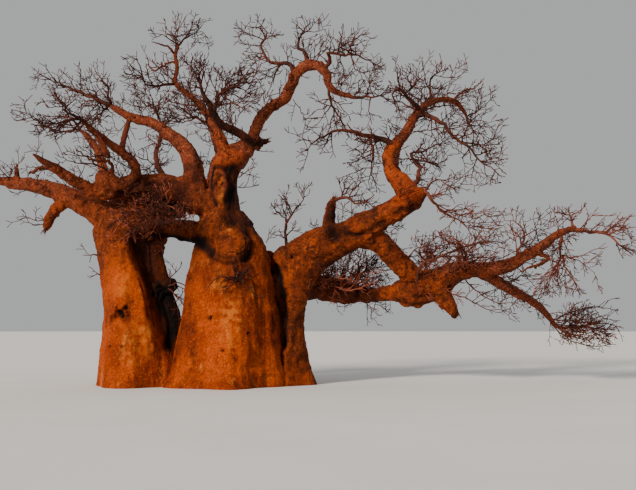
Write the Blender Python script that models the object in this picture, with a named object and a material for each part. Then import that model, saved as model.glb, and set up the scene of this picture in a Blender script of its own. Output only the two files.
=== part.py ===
"""A bare baobab grown from one root: three fused stems, crooked tapering boughs and masses of twigs.

Metres, +Z up. The ground is z = 0 and the origin lies under the main stem.
"""
import math
import random

import bmesh
import bpy
import numpy as np
from mathutils import Matrix, Vector

TREE = "baobab_tree"

# The limbs are laid out as they look from a viewpoint in front of the tree. A place is its distance
# to the right of the main stem and its height, on the upright plane through the stem, and its depth.
EYE = Vector((2.86, -25.0, 1.60))
AIM = Vector((2.86, 0.0, 3.86))
SIGHT = AIM - EYE
RIGHT = Vector((1.0, 0.0, 0.0))
UPWARD = RIGHT.cross(SIGHT).normalized()

# Clearances and the fineness of the solids
CLEARANCE = 0.00035
BURIED = 0.05
WELD = 0.00001
FLAT_WITHIN = math.radians(0.3)
RING_STEP = 2.2
SHORTEST_STEP = 0.22
STEM_SIDES = 18
STEM_STEP = 0.62

# Twigs: the shares are of a mass's reach, or of the radius of the line that a twig leaves
TWIG_SIDES = 3
TWIG_TIP = 0.007
TWIG_ROOT = 0.018
TWIG_ROOT_SHARE = 0.75
TWIG_BENDS = 3
TWIG_SPACING = 0.65
SIDE_TWIG_SPACING_SHARE = 0.60
SIDE_TWIG_SHARE = 0.55
SPACE_SHARE = 0.60
LENGTHS = (0.65, 1.0)
LOSS_TO_TIP = 0.35
GOLDEN_TURN = math.radians(137.5)
LEAVING_ANGLE = math.radians(58.0)
KINK = math.radians(24.0)
KINKS = (0.6, 1.4)
TWIG_CLEARANCE = 0.012
TRIES = 4
TRY_TURN = 0.37
TRY_LENGTH = 0.85
FORK_SHARE = 0.70
TAPER = 0.80
ROOT_SINK = 0.50

# Lobes of the stems: how far they wind from the ground to the top, and the share of the long swell
LOBE_WIND = 0.8
LONG_SWELL = 0.5

# Stems: height, left edge, right edge, depth of the middle and half depth; then lobes round the foot
# and how far they stand out at the ground and at the top.
STEMS = {
    "main_stem": {
        "sections": [
            (0.0, -1.32, 2.02, 0.00, 1.78), (0.45, -1.12, 1.90, 0.00, 1.50), (1.1, -0.99, 1.82, 0.00, 1.33),
            (1.9, -0.85, 1.77, 0.00, 1.24), (2.7, -0.71, 1.67, 0.00, 1.14), (3.4, -0.57, 1.56, 0.00, 1.00),
            (3.9, -0.50, 1.38, 0.00, 0.84), (4.3, -0.52, 1.16, 0.00, 0.68), (4.75, -0.42, 0.82, 0.00, 0.52),
            (5.1, -0.10, 0.50, 0.00, 0.28)],
        "lobes": 5, "phase": 0.5, "foot_lobe": 0.07, "top_lobe": 0.03},
    "west_stem": {
        "sections": [
            (0.0, -3.32, -0.80, 0.05, 1.32), (0.5, -3.20, -0.88, 0.05, 1.13),
            (1.2, -3.13, -0.93, 0.05, 1.02), (2.0, -3.09, -1.00, 0.05, 0.95),
            (2.8, -3.13, -1.27, 0.05, 0.88), (3.6, -3.22, -1.50, 0.05, 0.80),
            (4.3, -3.36, -1.45, 0.05, 0.68), (4.75, -3.20, -1.75, 0.05, 0.52),
            (5.15, -2.80, -2.10, 0.05, 0.28)],
        "lobes": 4, "phase": 1.1, "foot_lobe": 0.065, "top_lobe": 0.045},
    "east_stem": {
        "sections": [
            (0.0, 1.05, 2.86, 0.45, 0.85), (0.5, 1.40, 2.66, 0.42, 0.66), (1.2, 1.62, 2.50, 0.38, 0.54),
            (2.0, 1.78, 2.46, 0.32, 0.48), (2.7, 1.80, 2.66, 0.28, 0.50), (3.2, 1.72, 2.90, 0.24, 0.46),
            (3.6, 1.80, 2.70, 0.22, 0.26)],
        "lobes": 4, "phase": 0.3, "foot_lobe": 0.06, "top_lobe": 0.03},
}

# Boughs: right, height, depth and radius along the axis. A spur is a short side piece of its bough.
BOUGHS = {
    "leader": {"axis": [
        (0.22, 4.35, 0.00, 0.50), (0.24, 4.90, 0.00, 0.45), (0.20, 5.45, 0.00, 0.40),
        (0.24, 5.92, 0.00, 0.42), (0.50, 6.27, 0.02, 0.37), (0.85, 6.52, 0.05, 0.29),
        (1.12, 6.66, 0.08, 0.20)],
        "spurs": [[(1.02, 6.61, 0.05, 0.15), (1.30, 6.70, 0.03, 0.10), (1.47, 6.76, 0.02, 0.07)]]},
    "crossing_bough": {"axis": [
        (0.05, 4.75, 0.00, 0.40), (-0.50, 5.15, -0.12, 0.36), (-1.10, 5.42, -0.28, 0.33),
        (-1.80, 5.50, -0.42, 0.30), (-2.50, 5.42, -0.55, 0.25), (-3.10, 5.30, -0.75, 0.20),
        (-3.65, 5.50, -1.00, 0.17), (-4.25, 5.88, -1.35, 0.14), (-4.78, 6.20, -1.70, 0.09),
        (-5.03, 6.37, -1.90, 0.03)],
        "spurs": [[(-4.25, 5.86, -1.35, 0.06), (-4.70, 5.99, -1.50, 0.05), (-5.15, 5.86, -1.60, 0.03)]]},
    "west_bough": {"axis": [
        (-2.75, 4.35, 0.05, 0.40), (-3.20, 4.74, 0.14, 0.34), (-3.70, 5.03, 0.32, 0.32),
        (-4.15, 5.25, 0.52, 0.28), (-4.60, 5.41, 0.72, 0.22), (-5.20, 5.54, 0.98, 0.20),
        (-5.70, 5.60, 1.20, 0.15), (-6.00, 5.64, 1.32, 0.10)],
        "spurs": [
            [(-4.08, 5.17, 0.48, 0.20), (-4.42, 4.82, 0.40, 0.16), (-4.62, 4.52, 0.35, 0.15),
             (-4.67, 4.28, 0.32, 0.10)],
            [(-5.48, 5.60, 1.10, 0.08), (-5.50, 6.05, 1.12, 0.06)]]},
    "bridge_bough": {"axis": [
        (-1.95, 4.22, 0.10, 0.30), (-1.30, 4.32, 0.05, 0.27), (-0.70, 4.25, 0.05, 0.29),
        (-0.10, 4.15, 0.05, 0.33)],
        "spurs": [[(-1.62, 4.40, -0.05, 0.13), (-1.72, 4.28, -0.45, 0.12), (-1.80, 4.10, -0.68, 0.10)]]},
    "east_bough": {"axis": [
        (1.98, 2.70, 0.28, 0.38), (2.26, 3.24, 0.24, 0.54), (2.72, 3.66, 0.15, 0.57),
        (3.20, 3.92, 0.03, 0.52), (3.68, 4.12, -0.13, 0.47), (4.25, 4.42, -0.32, 0.38),
        (4.85, 4.78, -0.50, 0.32), (5.30, 5.02, -0.62, 0.33), (5.62, 5.22, -0.68, 0.25)],
        "spurs": [[(3.15, 4.20, 0.04, 0.19), (3.19, 4.75, 0.10, 0.14), (3.28, 5.12, 0.16, 0.12)]]},
    "curled_limb": {"axis": [
        (-3.05, 5.66, -0.86, 0.25), (-2.72, 5.52, -0.80, 0.20), (-2.40, 5.60, -0.76, 0.17),
        (-2.20, 5.88, -0.82, 0.14), (-2.32, 6.20, -0.95, 0.125), (-2.58, 6.42, -1.12, 0.12),
        (-2.84, 6.61, -1.30, 0.11), (-3.15, 6.86, -1.55, 0.09), (-3.45, 7.08, -1.80, 0.075),
        (-3.67, 7.32, -2.02, 0.06)],
        "spurs": [
            [(-3.32, 7.00, -1.70, 0.06), (-3.14, 6.66, -1.78, 0.08), (-2.98, 6.35, -1.85, 0.09)],
            [(-2.60, 6.42, -1.14, 0.08), (-2.53, 6.80, -0.50, 0.08), (-2.38, 7.36, 0.55, 0.07)],
            [(-2.88, 5.66, -0.85, 0.06), (-2.88, 6.12, -1.00, 0.05), (-3.41, 6.23, -1.25, 0.03),
             (-3.82, 6.48, -1.45, 0.015)]]},
    "arch_bough": {"axis": [
        (-0.62, 5.20, -0.15, 0.34), (-0.60, 5.75, -0.10, 0.28), (-0.66, 6.22, 0.00, 0.235),
        (-0.95, 6.68, 0.12, 0.20), (-1.45, 7.07, 0.28, 0.165)]},
    "arch_limb": {"axis": [
        (-1.38, 7.02, 0.26, 0.15), (-1.80, 7.27, 0.38, 0.145), (-2.30, 7.39, 0.55, 0.13),
        (-2.84, 7.69, 0.80, 0.09)]},
    "red_limb": {"axis": [
        (0.32, 6.22, 0.02, 0.20), (0.22, 6.62, 0.10, 0.165), (0.08, 6.95, 0.20, 0.15),
        (-0.08, 7.25, 0.32, 0.13), (-0.24, 7.52, 0.45, 0.11), (-0.48, 7.82, 0.62, 0.09),
        (-0.80, 8.08, 0.85, 0.08), (-1.10, 8.37, 1.05, 0.075), (-1.05, 8.76, 1.20, 0.065),
        (-1.10, 9.15, 1.30, 0.055), (-1.03, 9.41, 1.40, 0.045)],
        "spurs": [
            [(-1.05, 8.90, 1.24, 0.035), (-1.33, 8.90, 1.40, 0.030), (-1.70, 8.70, 1.60, 0.025),
             (-1.90, 9.05, 1.80, 0.010)],
            [(-1.09, 9.14, 1.30, 0.035), (-1.33, 9.37, 1.10, 0.028), (-1.75, 9.50, 0.80, 0.012)]]},
    "dark_limb": {"axis": [
        (1.15, 6.60, 0.00, 0.14), (0.85, 6.83, -0.20, 0.125), (0.50, 7.05, -0.40, 0.11),
        (0.15, 7.22, -0.55, 0.105), (-0.02, 7.50, -0.66, 0.10), (-0.15, 7.80, -0.76, 0.085)]},
    "crown_limb": {"axis": [
        (1.00, 6.58, 0.08, 0.19), (1.08, 6.95, 0.20, 0.165), (1.24, 7.33, 0.35, 0.155),
        (1.55, 7.68, 0.50, 0.16), (1.93, 7.92, 0.60, 0.155), (2.10, 8.27, 0.55, 0.15),
        (2.30, 8.66, 0.32, 0.165), (2.62, 8.87, 0.02, 0.155)]},
    "crown_limb_outer": {"axis": [
        (2.56, 8.84, 0.05, 0.14), (2.90, 8.82, -0.30, 0.135), (3.10, 8.58, -0.55, 0.12),
        (3.16, 8.30, -0.76, 0.10), (3.38, 8.10, -1.00, 0.085), (3.80, 7.97, -1.30, 0.06)]},
    "east_riser": {"axis": [
        (5.52, 5.08, -0.64, 0.33), (5.20, 5.52, -0.56, 0.29), (4.87, 5.93, -0.42, 0.18),
        (4.79, 6.27, -0.27, 0.155), (4.93, 6.58, -0.13, 0.175), (5.28, 6.93, 0.00, 0.15),
        (5.47, 7.28, 0.08, 0.13), (5.66, 7.60, 0.13, 0.115)]},
    "east_crown_limb": {"axis": [
        (5.62, 7.53, 0.12, 0.10), (5.95, 7.80, 0.42, 0.09), (6.35, 7.90, 0.78, 0.085),
        (6.70, 7.82, 1.06, 0.075), (6.95, 7.50, 1.28, 0.055)],
        "spurs": [[(6.62, 7.84, 1.00, 0.040), (6.85, 8.10, 1.20, 0.030), (7.15, 8.22, 1.45, 0.020),
                   (7.42, 8.40, 1.70, 0.010)]]},
    "prop_bough": {"axis": [
        (4.05, 4.12, -0.20, 0.30), (4.50, 3.98, -0.10, 0.30), (4.95, 3.55, 0.12, 0.29),
        (5.35, 3.12, 0.36, 0.30), (5.72, 2.85, 0.55, 0.30)]},
    "low_bough": {"axis": [
        (4.70, 2.50, 0.78, 0.14), (5.15, 2.57, 0.72, 0.34), (5.70, 2.65, 0.62, 0.50),
        (6.25, 2.88, 0.52, 0.42), (6.75, 3.13, 0.42, 0.27), (7.20, 3.20, 0.32, 0.23)],
        "spurs": [[(6.12, 2.62, 0.50, 0.30), (6.45, 2.27, 0.42, 0.22), (6.66, 1.97, 0.36, 0.13)]]},
    "far_bough": {"axis": [
        (7.08, 3.19, 0.34, 0.205), (7.60, 3.21, 0.20, 0.20), (8.10, 3.27, 0.02, 0.19),
        (8.50, 3.48, -0.20, 0.16), (9.05, 3.82, -0.50, 0.13), (9.55, 4.18, -0.80, 0.10),
        (9.95, 4.31, -1.02, 0.085)],
        "spurs": [[(8.80, 3.68, -0.36, 0.055), (9.25, 3.50, -0.62, 0.060), (8.90, 3.28, -0.82, 0.040),
                   (8.45, 3.10, -1.00, 0.012)]]},
    "descending_bough": {"axis": [
        (7.35, 3.12, 0.28, 0.15), (7.80, 2.87, 0.55, 0.155), (8.30, 2.58, 0.86, 0.14),
        (8.80, 2.30, 1.15, 0.12), (9.15, 2.00, 1.36, 0.10), (9.42, 1.65, 1.52, 0.07)]},
    "low_back_bough": {"axis": [
        (2.30, 2.60, 0.40, 0.28), (3.00, 2.62, 0.92, 0.26), (3.70, 2.50, 1.42, 0.22),
        (4.30, 2.46, 1.90, 0.16), (4.85, 2.40, 2.35, 0.10)]},
    "back_bough": {"axis": [
        (0.30, 4.55, 0.20, 0.32), (0.26, 5.20, 0.85, 0.25), (0.25, 5.95, 1.45, 0.19),
        (0.05, 6.75, 2.05, 0.14), (-0.20, 7.40, 2.60, 0.10)]},
    "back_east_bough": {"axis": [
        (5.28, 4.98, -0.55, 0.22), (5.20, 5.50, 0.20, 0.19), (4.95, 6.10, 0.95, 0.15),
        (5.15, 6.80, 1.65, 0.12), (5.50, 7.38, 2.30, 0.09)]},
    "back_west_bough": {"axis": [
        (-2.45, 4.60, 0.25, 0.28), (-2.75, 5.25, 1.05, 0.21), (-3.05, 5.80, 1.70, 0.16),
        (-3.25, 6.45, 2.15, 0.12), (-3.60, 6.95, 2.60, 0.085)]},
}

# Masses of twigs. Each has the radius of its stem's root, the depths of the stem's root and tip, the
# stem and any forks as right and height along them, with the depth of a fork's tip last, and the
# longest twig that the rule grows there.
MASSES = {
    "west_tip_twigs": {"radius": 0.075, "depths": (1.30, 1.75), "reach": 0.75,
                       "stem": [(-5.97, 5.63), (-6.40, 5.75), (-6.80, 5.95), (-7.10, 6.20)],
                       "forks": [([(-6.20, 5.69), (-6.50, 5.45), (-6.80, 5.22)], 1.05)]},
    "arch_twigs": {"radius": 0.080, "depths": (0.78, 1.90), "reach": 0.75,
                   "stem": [(-2.80, 7.66), (-3.13, 7.84), (-3.41, 7.96), (-3.95, 8.20), (-4.45, 8.40),
                            (-4.95, 8.63)],
                   "forks": [([(-2.90, 7.71), (-2.95, 8.14), (-3.20, 8.55)], 0.40),
                             ([(-2.95, 7.74), (-3.15, 7.52), (-3.50, 7.32)], 0.00)]},
    "curled_twigs": {"radius": 0.052, "depths": (-2.00, -2.70), "reach": 0.70,
                     "stem": [(-3.63, 7.27), (-3.92, 7.47), (-4.20, 7.60), (-4.28, 7.95)],
                     "forks": [([(-3.75, 7.36), (-4.26, 7.29), (-4.75, 7.20), (-5.30, 7.55), (-5.65, 7.62)],
                                -3.10),
                               ([(-3.70, 7.33), (-4.00, 7.02), (-4.40, 6.96), (-4.75, 6.86)], -1.90)]},
    "riser_twigs": {"radius": 0.100, "depths": (-0.32, 1.60), "reach": 0.60,
                    "stem": [(-1.42, 5.68), (-1.58, 6.05), (-1.64, 6.38), (-1.53, 6.75), (-1.52, 7.25),
                             (-1.70, 7.68), (-1.75, 7.92), (-1.84, 8.22)],
                    "forks": [([(-1.71, 7.75), (-2.05, 7.67), (-2.28, 7.60)], 1.80)]},
    "clump_west_twigs": {"radius": 0.050, "depths": (0.30, 0.00), "reach": 0.70,
                         "stem": [(-0.08, 7.22), (-0.50, 7.36), (-0.85, 7.62), (-1.28, 7.78)],
                         "forks": [([(-0.55, 7.39), (-0.90, 7.27), (-1.25, 7.30)], 0.80)]},
    "clump_top_twigs": {"radius": 0.075, "depths": (-0.74, -1.30), "reach": 0.75,
                        "stem": [(-0.13, 7.76), (-0.35, 8.10), (-0.45, 8.40), (-0.38, 8.70), (-0.12, 8.88)],
                        "forks": [([(-0.43, 8.38), (-0.62, 8.75), (-0.92, 8.98)], -1.80)]},
    "clump_east_twigs": {"radius": 0.065, "depths": (-0.66, -1.50), "reach": 0.75,
                         "stem": [(-0.03, 7.50), (0.12, 8.02), (0.45, 8.20), (0.90, 8.37), (1.28, 8.36)],
                         "forks": [([(0.20, 8.07), (0.50, 7.80), (0.95, 7.62)], -1.90),
                                   ([(0.22, 8.08), (0.30, 8.35), (0.34, 8.64)], -0.50)]},
    "top_left_twigs": {"radius": 0.038, "depths": (1.40, 2.10), "reach": 0.60,
                       "stem": [(-1.04, 9.37), (-0.87, 9.57), (-0.62, 9.70), (-0.45, 9.82), (-0.30, 10.08)],
                       "forks": [([(-1.00, 9.43), (-1.27, 9.56), (-1.47, 9.71), (-1.76, 9.74)], 0.70),
                                 ([(-0.60, 9.71), (-0.33, 9.76), (-0.14, 9.48)], 2.40)]},
    "left_loop_twigs": {"radius": 0.050, "depths": (1.05, 0.20), "reach": 0.60,
                        "stem": [(-1.08, 8.33), (-1.56, 8.28), (-1.90, 8.33), (-2.04, 8.65), (-2.16, 9.00),
                                 (-2.46, 9.15)],
                        "forks": [([(-1.97, 8.48), (-2.35, 8.58)], -0.10)]},
    "crown_west_twigs": {"radius": 0.080, "depths": (0.36, 1.80), "reach": 0.60,
                         "stem": [(2.20, 8.60), (2.05, 8.88), (1.62, 8.90), (1.40, 9.10), (1.30, 9.42),
                                  (1.44, 9.74), (1.28, 9.95), (1.12, 10.12)],
                         "forks": [([(1.33, 9.53), (1.12, 9.68), (0.85, 9.76), (0.60, 9.68)], 0.90),
                                   ([(1.85, 8.89), (1.68, 8.65), (1.62, 8.30)], 0.60)]},
    "crown_top_twigs": {"radius": 0.085, "depths": (0.02, 0.50), "reach": 0.60,
                        "stem": [(2.62, 8.85), (2.50, 9.18), (2.35, 9.33), (2.37, 9.60), (2.50, 9.88),
                                 (2.62, 9.99)],
                        "forks": [([(2.44, 9.78), (2.75, 9.78), (3.10, 9.85)], -0.20)]},
    "crown_east_twigs": {"radius": 0.065, "depths": (-0.42, -2.00), "reach": 0.65,
                         "stem": [(3.00, 8.75), (3.20, 8.92), (3.15, 9.18), (3.60, 9.12), (3.96, 9.12),
                                  (4.30, 8.97), (4.62, 8.78)],
                         "forks": [([(3.58, 9.13), (3.48, 9.50), (3.56, 9.75)], -0.60),
                                   ([(3.78, 9.12), (3.85, 8.75), (4.15, 8.60), (4.30, 8.30)], -1.00)]},
    "crown_tip_twigs": {"radius": 0.052, "depths": (-1.28, -1.90), "reach": 0.65,
                        "stem": [(3.76, 7.97), (4.20, 7.95), (4.55, 8.00), (4.90, 8.10)],
                        "forks": [([(4.40, 7.98), (4.30, 8.30), (4.42, 8.62)], -2.20),
                                  ([(4.35, 7.97), (4.28, 7.60), (4.36, 7.20)], -1.00)]},
    "crown_hanging_twigs": {"radius": 0.045, "depths": (-0.78, -0.30), "reach": 0.75,
                            "stem": [(3.16, 8.22), (3.20, 7.88), (3.40, 7.50), (3.60, 7.15), (3.78, 6.93)],
                            "forks": [([(3.24, 7.80), (3.00, 7.42), (2.82, 7.18)], -1.20)]},
    "east_top_twigs": {"radius": 0.090, "depths": (0.12, -0.90), "reach": 0.70,
                       "stem": [(5.64, 7.55), (5.45, 7.88), (5.25, 8.08), (5.00, 8.15), (4.95, 7.98),
                                (5.04, 7.70)],
                       "forks": [([(5.10, 8.14), (5.10, 8.45), (5.03, 8.68)], -0.90),
                                 ([(5.28, 8.06), (5.60, 8.40), (5.68, 8.76)], 0.20)]},
    "east_crest_twigs": {"radius": 0.048, "depths": (0.48, 1.20), "reach": 0.65,
                         "stem": [(6.02, 7.82), (5.95, 8.20), (6.00, 8.48), (6.22, 8.65), (6.30, 8.95)],
                         "forks": [([(6.10, 8.58), (6.45, 8.50), (6.78, 8.52)], 0.40),
                                   ([(5.96, 8.30), (5.62, 8.22), (5.35, 8.42)], 1.20)]},
    "east_right_twigs": {"radius": 0.045, "depths": (1.26, 1.80), "reach": 0.70,
                         "stem": [(6.93, 7.55), (7.03, 7.25), (7.20, 7.00), (7.38, 6.82)],
                         "forks": [([(6.98, 7.40), (7.30, 7.60), (7.60, 7.85), (7.80, 8.05)], 2.10),
                                   ([(7.03, 7.25), (7.35, 7.34), (7.62, 7.24)], 0.90)]},
    "east_droop_twigs": {"radius": 0.080, "depths": (0.10, -2.40), "reach": 0.70,
                         "stem": [(5.55, 7.44), (5.95, 7.45), (6.35, 7.20), (6.60, 6.87), (6.95, 6.68),
                                  (7.30, 6.24), (7.65, 6.00), (7.97, 5.72)],
                         "forks": [([(7.28, 6.26), (7.15, 5.95), (7.10, 5.55)], -1.60),
                                   ([(6.92, 6.70), (7.40, 6.64), (7.92, 6.66)], -1.00)]},
    "east_inner_twigs": {"radius": 0.085, "depths": (-0.62, 0.70), "reach": 0.70,
                         "stem": [(5.45, 5.30), (5.67, 6.00), (5.42, 6.38), (5.80, 6.45), (6.10, 6.65),
                                  (6.42, 6.60)],
                         "forks": [([(5.52, 6.25), (5.95, 6.15), (6.42, 6.05)], 1.20)]},
    "east_west_twigs": {"radius": 0.100, "depths": (-0.12, -1.70), "reach": 0.70,
                        "stem": [(5.00, 6.60), (4.65, 6.80), (4.20, 6.88), (3.70, 7.02), (3.28, 7.02),
                                 (2.88, 6.80), (2.48, 6.46)],
                        "forks": [([(4.30, 6.87), (4.37, 6.40), (4.36, 6.00), (4.26, 5.62)], -1.10)]},
    "elbow_twigs": {"radius": 0.060, "depths": (-0.66, -1.80), "reach": 0.70,
                    "stem": [(5.60, 5.20), (5.84, 5.38), (6.03, 5.06), (6.40, 4.73), (6.78, 4.55),
                             (7.05, 4.30), (7.13, 4.02)],
                    "forks": [([(6.72, 4.58), (6.95, 4.85), (7.17, 5.02)], -2.00),
                              ([(6.95, 4.40), (7.40, 4.35), (7.87, 4.28)], -1.30),
                              ([(5.83, 5.36), (6.15, 5.65), (6.60, 5.62)], -0.20)]},
    "low_top_twigs": {"radius": 0.070, "depths": (0.38, -1.60), "reach": 0.85,
                      "stem": [(6.78, 3.18), (6.97, 3.55), (6.80, 3.85), (6.35, 3.98)],
                      "forks": [([(6.95, 3.50), (6.45, 3.55), (5.90, 3.40)], -1.50),
                                ([(6.96, 3.65), (7.30, 3.90), (7.60, 3.82)], -0.90)]},
    "low_back_twigs": {"radius": 0.070, "depths": (0.80, 2.80), "reach": 0.85,
                       "stem": [(5.90, 2.90), (5.85, 3.35), (6.10, 3.70), (6.55, 3.92)],
                       "forks": [([(5.87, 3.42), (5.50, 3.72)], 2.20)]},
    "far_top_twigs": {"radius": 0.050, "depths": (-0.10, 0.50), "reach": 0.65,
                      "stem": [(8.33, 3.35), (8.42, 3.70), (8.62, 4.05), (8.40, 4.48), (7.98, 4.56)],
                      "forks": [([(8.44, 4.42), (8.60, 4.86)], 0.00),
                                ([(8.61, 4.08), (9.00, 4.30), (9.35, 4.15)], 0.90)]},
    "far_tip_twigs": {"radius": 0.075, "depths": (-1.00, -1.80), "reach": 0.80,
                      "stem": [(9.92, 4.30), (10.45, 4.23), (10.95, 4.13), (11.25, 3.85), (11.62, 3.58)],
                      "forks": [([(10.90, 4.14), (11.30, 4.30), (11.78, 4.34)], -2.30),
                                ([(9.98, 4.29), (9.88, 4.60), (9.80, 4.92)], -0.60)]},
    "far_low_twigs": {"radius": 0.048, "depths": (-0.81, -1.00), "reach": 0.80,
                      "stem": [(9.58, 4.18), (9.60, 3.75), (9.70, 3.30), (9.95, 2.90), (10.17, 2.58)],
                      "forks": [([(9.62, 3.60), (10.10, 3.40), (10.55, 3.08)], -0.40),
                                ([(9.64, 3.50), (9.40, 3.20), (9.20, 2.78)], -1.60)]},
    "descending_twigs": {"radius": 0.060, "depths": (1.50, 2.20), "reach": 0.80,
                         "stem": [(9.39, 1.70), (9.62, 1.55), (10.10, 1.60), (10.65, 1.55), (11.10, 1.50)],
                         "forks": [([(9.60, 1.57), (9.90, 1.33), (10.40, 1.20)], 1.00),
                                   ([(9.85, 1.57), (10.10, 1.95), (10.38, 2.12)], 2.60)]},
    "hollow_twigs": {"radius": 0.060, "depths": (1.40, 2.20), "reach": 0.70,
                     "stem": [(3.68, 2.52), (3.93, 2.95), (3.98, 3.35), (4.10, 3.78)],
                     "forks": [([(3.92, 2.93), (3.60, 3.22), (3.33, 3.45)], 2.60),
                               ([(3.94, 2.98), (4.40, 3.20), (4.78, 3.28)], 2.60)]},
    "front_twigs": {"radius": 0.060, "depths": (-0.40, -1.80), "reach": 0.75,
                    "stem": [(-1.45, 5.32), (-1.60, 4.98), (-1.75, 4.70), (-1.98, 4.38)],
                    "forks": [([(-1.62, 4.93), (-1.25, 4.80), (-0.88, 4.66)], -1.60),
                              ([(-1.66, 4.87), (-2.10, 4.82), (-2.48, 4.60)], -1.60)]},
    "upright_twigs": {"radius": 0.060, "depths": (0.18, -0.30), "reach": 0.60,
                      "stem": [(2.12, 3.55), (1.95, 4.05), (2.00, 4.45), (2.22, 4.85), (2.45, 5.12),
                               (2.45, 5.48)],
                      "forks": [([(1.98, 4.30), (1.93, 4.60), (1.68, 4.80)], 0.50)]},
    "arched_twigs": {"radius": 0.060, "depths": (0.14, -0.50), "reach": 0.60,
                     "stem": [(3.25, 5.02), (3.45, 5.18), (3.65, 5.20), (3.88, 5.03), (4.18, 5.07),
                              (4.42, 5.27)],
                     "forks": [([(3.52, 5.20), (3.60, 5.56)], 0.50)]},
    "stem_twigs": {"radius": 0.045, "depths": (-0.90, -1.60), "reach": 0.50,
                   "stem": [(0.64, 2.84), (0.70, 2.96), (0.84, 3.12)],
                   "forks": [([(0.68, 2.92), (0.45, 2.80), (0.30, 2.85)], -1.50)]},
    "back_twigs": {"radius": 0.085, "depths": (2.56, 3.30), "reach": 0.95,
                   "stem": [(-0.18, 7.36), (-0.30, 7.75), (-0.35, 8.10)],
                   "forks": [([(-0.26, 7.60), (0.40, 7.80), (0.95, 8.00)], 3.70),
                             ([(-0.28, 7.68), (-1.00, 7.78), (-1.45, 7.92)], 2.80)]},
    "back_east_twigs": {"radius": 0.078, "depths": (2.26, 3.00), "reach": 0.85,
                        "stem": [(5.48, 7.34), (5.75, 7.70), (5.92, 8.08)],
                        "forks": [([(5.62, 7.53), (6.20, 7.72), (6.75, 7.70)], 3.20),
                                  ([(5.62, 7.55), (5.20, 7.80), (4.80, 7.85)], 3.00)]},
    "back_west_twigs": {"radius": 0.072, "depths": (2.56, 3.20), "reach": 0.85,
                        "stem": [(-3.57, 6.92), (-3.85, 7.20), (-4.15, 7.55)],
                        "forks": [([(-3.72, 7.06), (-4.30, 7.02), (-4.85, 7.15)], 2.50),
                                  ([(-3.75, 7.10), (-3.40, 7.45), (-3.05, 7.60)], 3.30)]},
}

BARK = {"color": (0.50, 0.17, 0.055, 1.0), "roughness": 0.85}
TWIG_BARK = {"color": (0.26, 0.085, 0.045, 1.0), "roughness": 0.9}


def at(right, height, depth=0.0):
    """The point at this depth that is seen from the viewpoint at this distance right and height."""
    ray = SIGHT + RIGHT * (right - AIM.x) + UPWARD * (height - AIM.z)
    return EYE + ray * ((depth - EYE.y) / ray.y)


def clear_scene():
    for thing in list(bpy.data.objects):
        bpy.data.objects.remove(thing, do_unlink=True)


def collection(name, parent):
    made = bpy.data.collections.new(name)
    parent.children.link(made)
    return made


def make_material(name, color, roughness):
    material = bpy.data.materials.new(name)
    material.use_nodes = True
    shader = material.node_tree.nodes["Principled BSDF"]
    shader.inputs["Base Color"].default_value = color
    shader.inputs["Roughness"].default_value = roughness
    shader.inputs["Metallic"].default_value = 0.0
    return material


def smooth_path(knots, step_of_radius, shortest):
    """Points on a smooth curve through the knots, closer together where the limb is thinner.

    Each knot and each point is an array of x, y, z and radius.
    """
    knots = [np.array(knot, dtype=float) for knot in knots]
    gaps = [np.linalg.norm(end[:3] - start[:3]) for start, end in zip(knots, knots[1:])]
    slopes = [(knots[1] - knots[0]) / gaps[0]]
    for index in range(1, len(knots) - 1):
        slopes.append((knots[index + 1] - knots[index - 1]) / (gaps[index - 1] + gaps[index]))
    slopes.append((knots[-1] - knots[-2]) / gaps[-1])
    path = [knots[0]]
    for index, gap in enumerate(gaps):
        start, end = knots[index], knots[index + 1]
        step = max(shortest, step_of_radius * 0.5 * (start[3] + end[3]))
        count = max(1, round(gap / step))
        for number in range(1, count + 1):
            t = number / count
            path.append((2 * t**3 - 3 * t**2 + 1) * start + (t**3 - 2 * t**2 + t) * gap * slopes[index]
                        + (3 * t**2 - 2 * t**3) * end + (t**3 - t**2) * gap * slopes[index + 1])
    return path


def lengthened(path, sink, grow):
    """The path with its radii grown, its root drawn back by sink and its tip moved out by grow."""
    path = [np.append(point[:3], point[3] + grow) for point in path]
    out = path[0][:3] - path[1][:3]
    path[0][:3] += out / np.linalg.norm(out) * (sink + grow)
    out = path[-1][:3] - path[-2][:3]
    path[-1][:3] += out / np.linalg.norm(out) * grow
    return path


def tube(name, path, sides, profile=None):
    """A curve object that is a round tube along the path, or one with the profile's section."""
    curve = bpy.data.curves.new(name, "CURVE")
    curve.dimensions = "3D"
    curve.use_fill_caps = True
    if profile is None:
        curve.bevel_depth = 1.0
        curve.bevel_resolution = (sides - 4) // 2
    else:
        curve.bevel_mode = "OBJECT"
        curve.bevel_object = profile
    spline = curve.splines.new("POLY")
    spline.points.add(len(path) - 1)
    for place, point in zip(spline.points, path):
        place.co = (point[0], point[1], point[2], 1.0)
        place.radius = point[3]
    return bpy.data.objects.new(name, curve)


def three_sided_profile():
    """A closed flat curve, an equal-sided triangle whose corners are 1 m from its middle."""
    curve = bpy.data.curves.new("twig_section", "CURVE")
    curve.dimensions = "2D"
    curve.fill_mode = "NONE"
    spline = curve.splines.new("POLY")
    spline.points.add(TWIG_SIDES - 1)
    for number, place in enumerate(spline.points):
        angle = -math.tau * number / TWIG_SIDES
        place.co = (math.cos(angle), math.sin(angle), 0.0, 1.0)
    spline.use_cyclic_u = True
    return bpy.data.objects.new("twig_section", curve)


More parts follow.
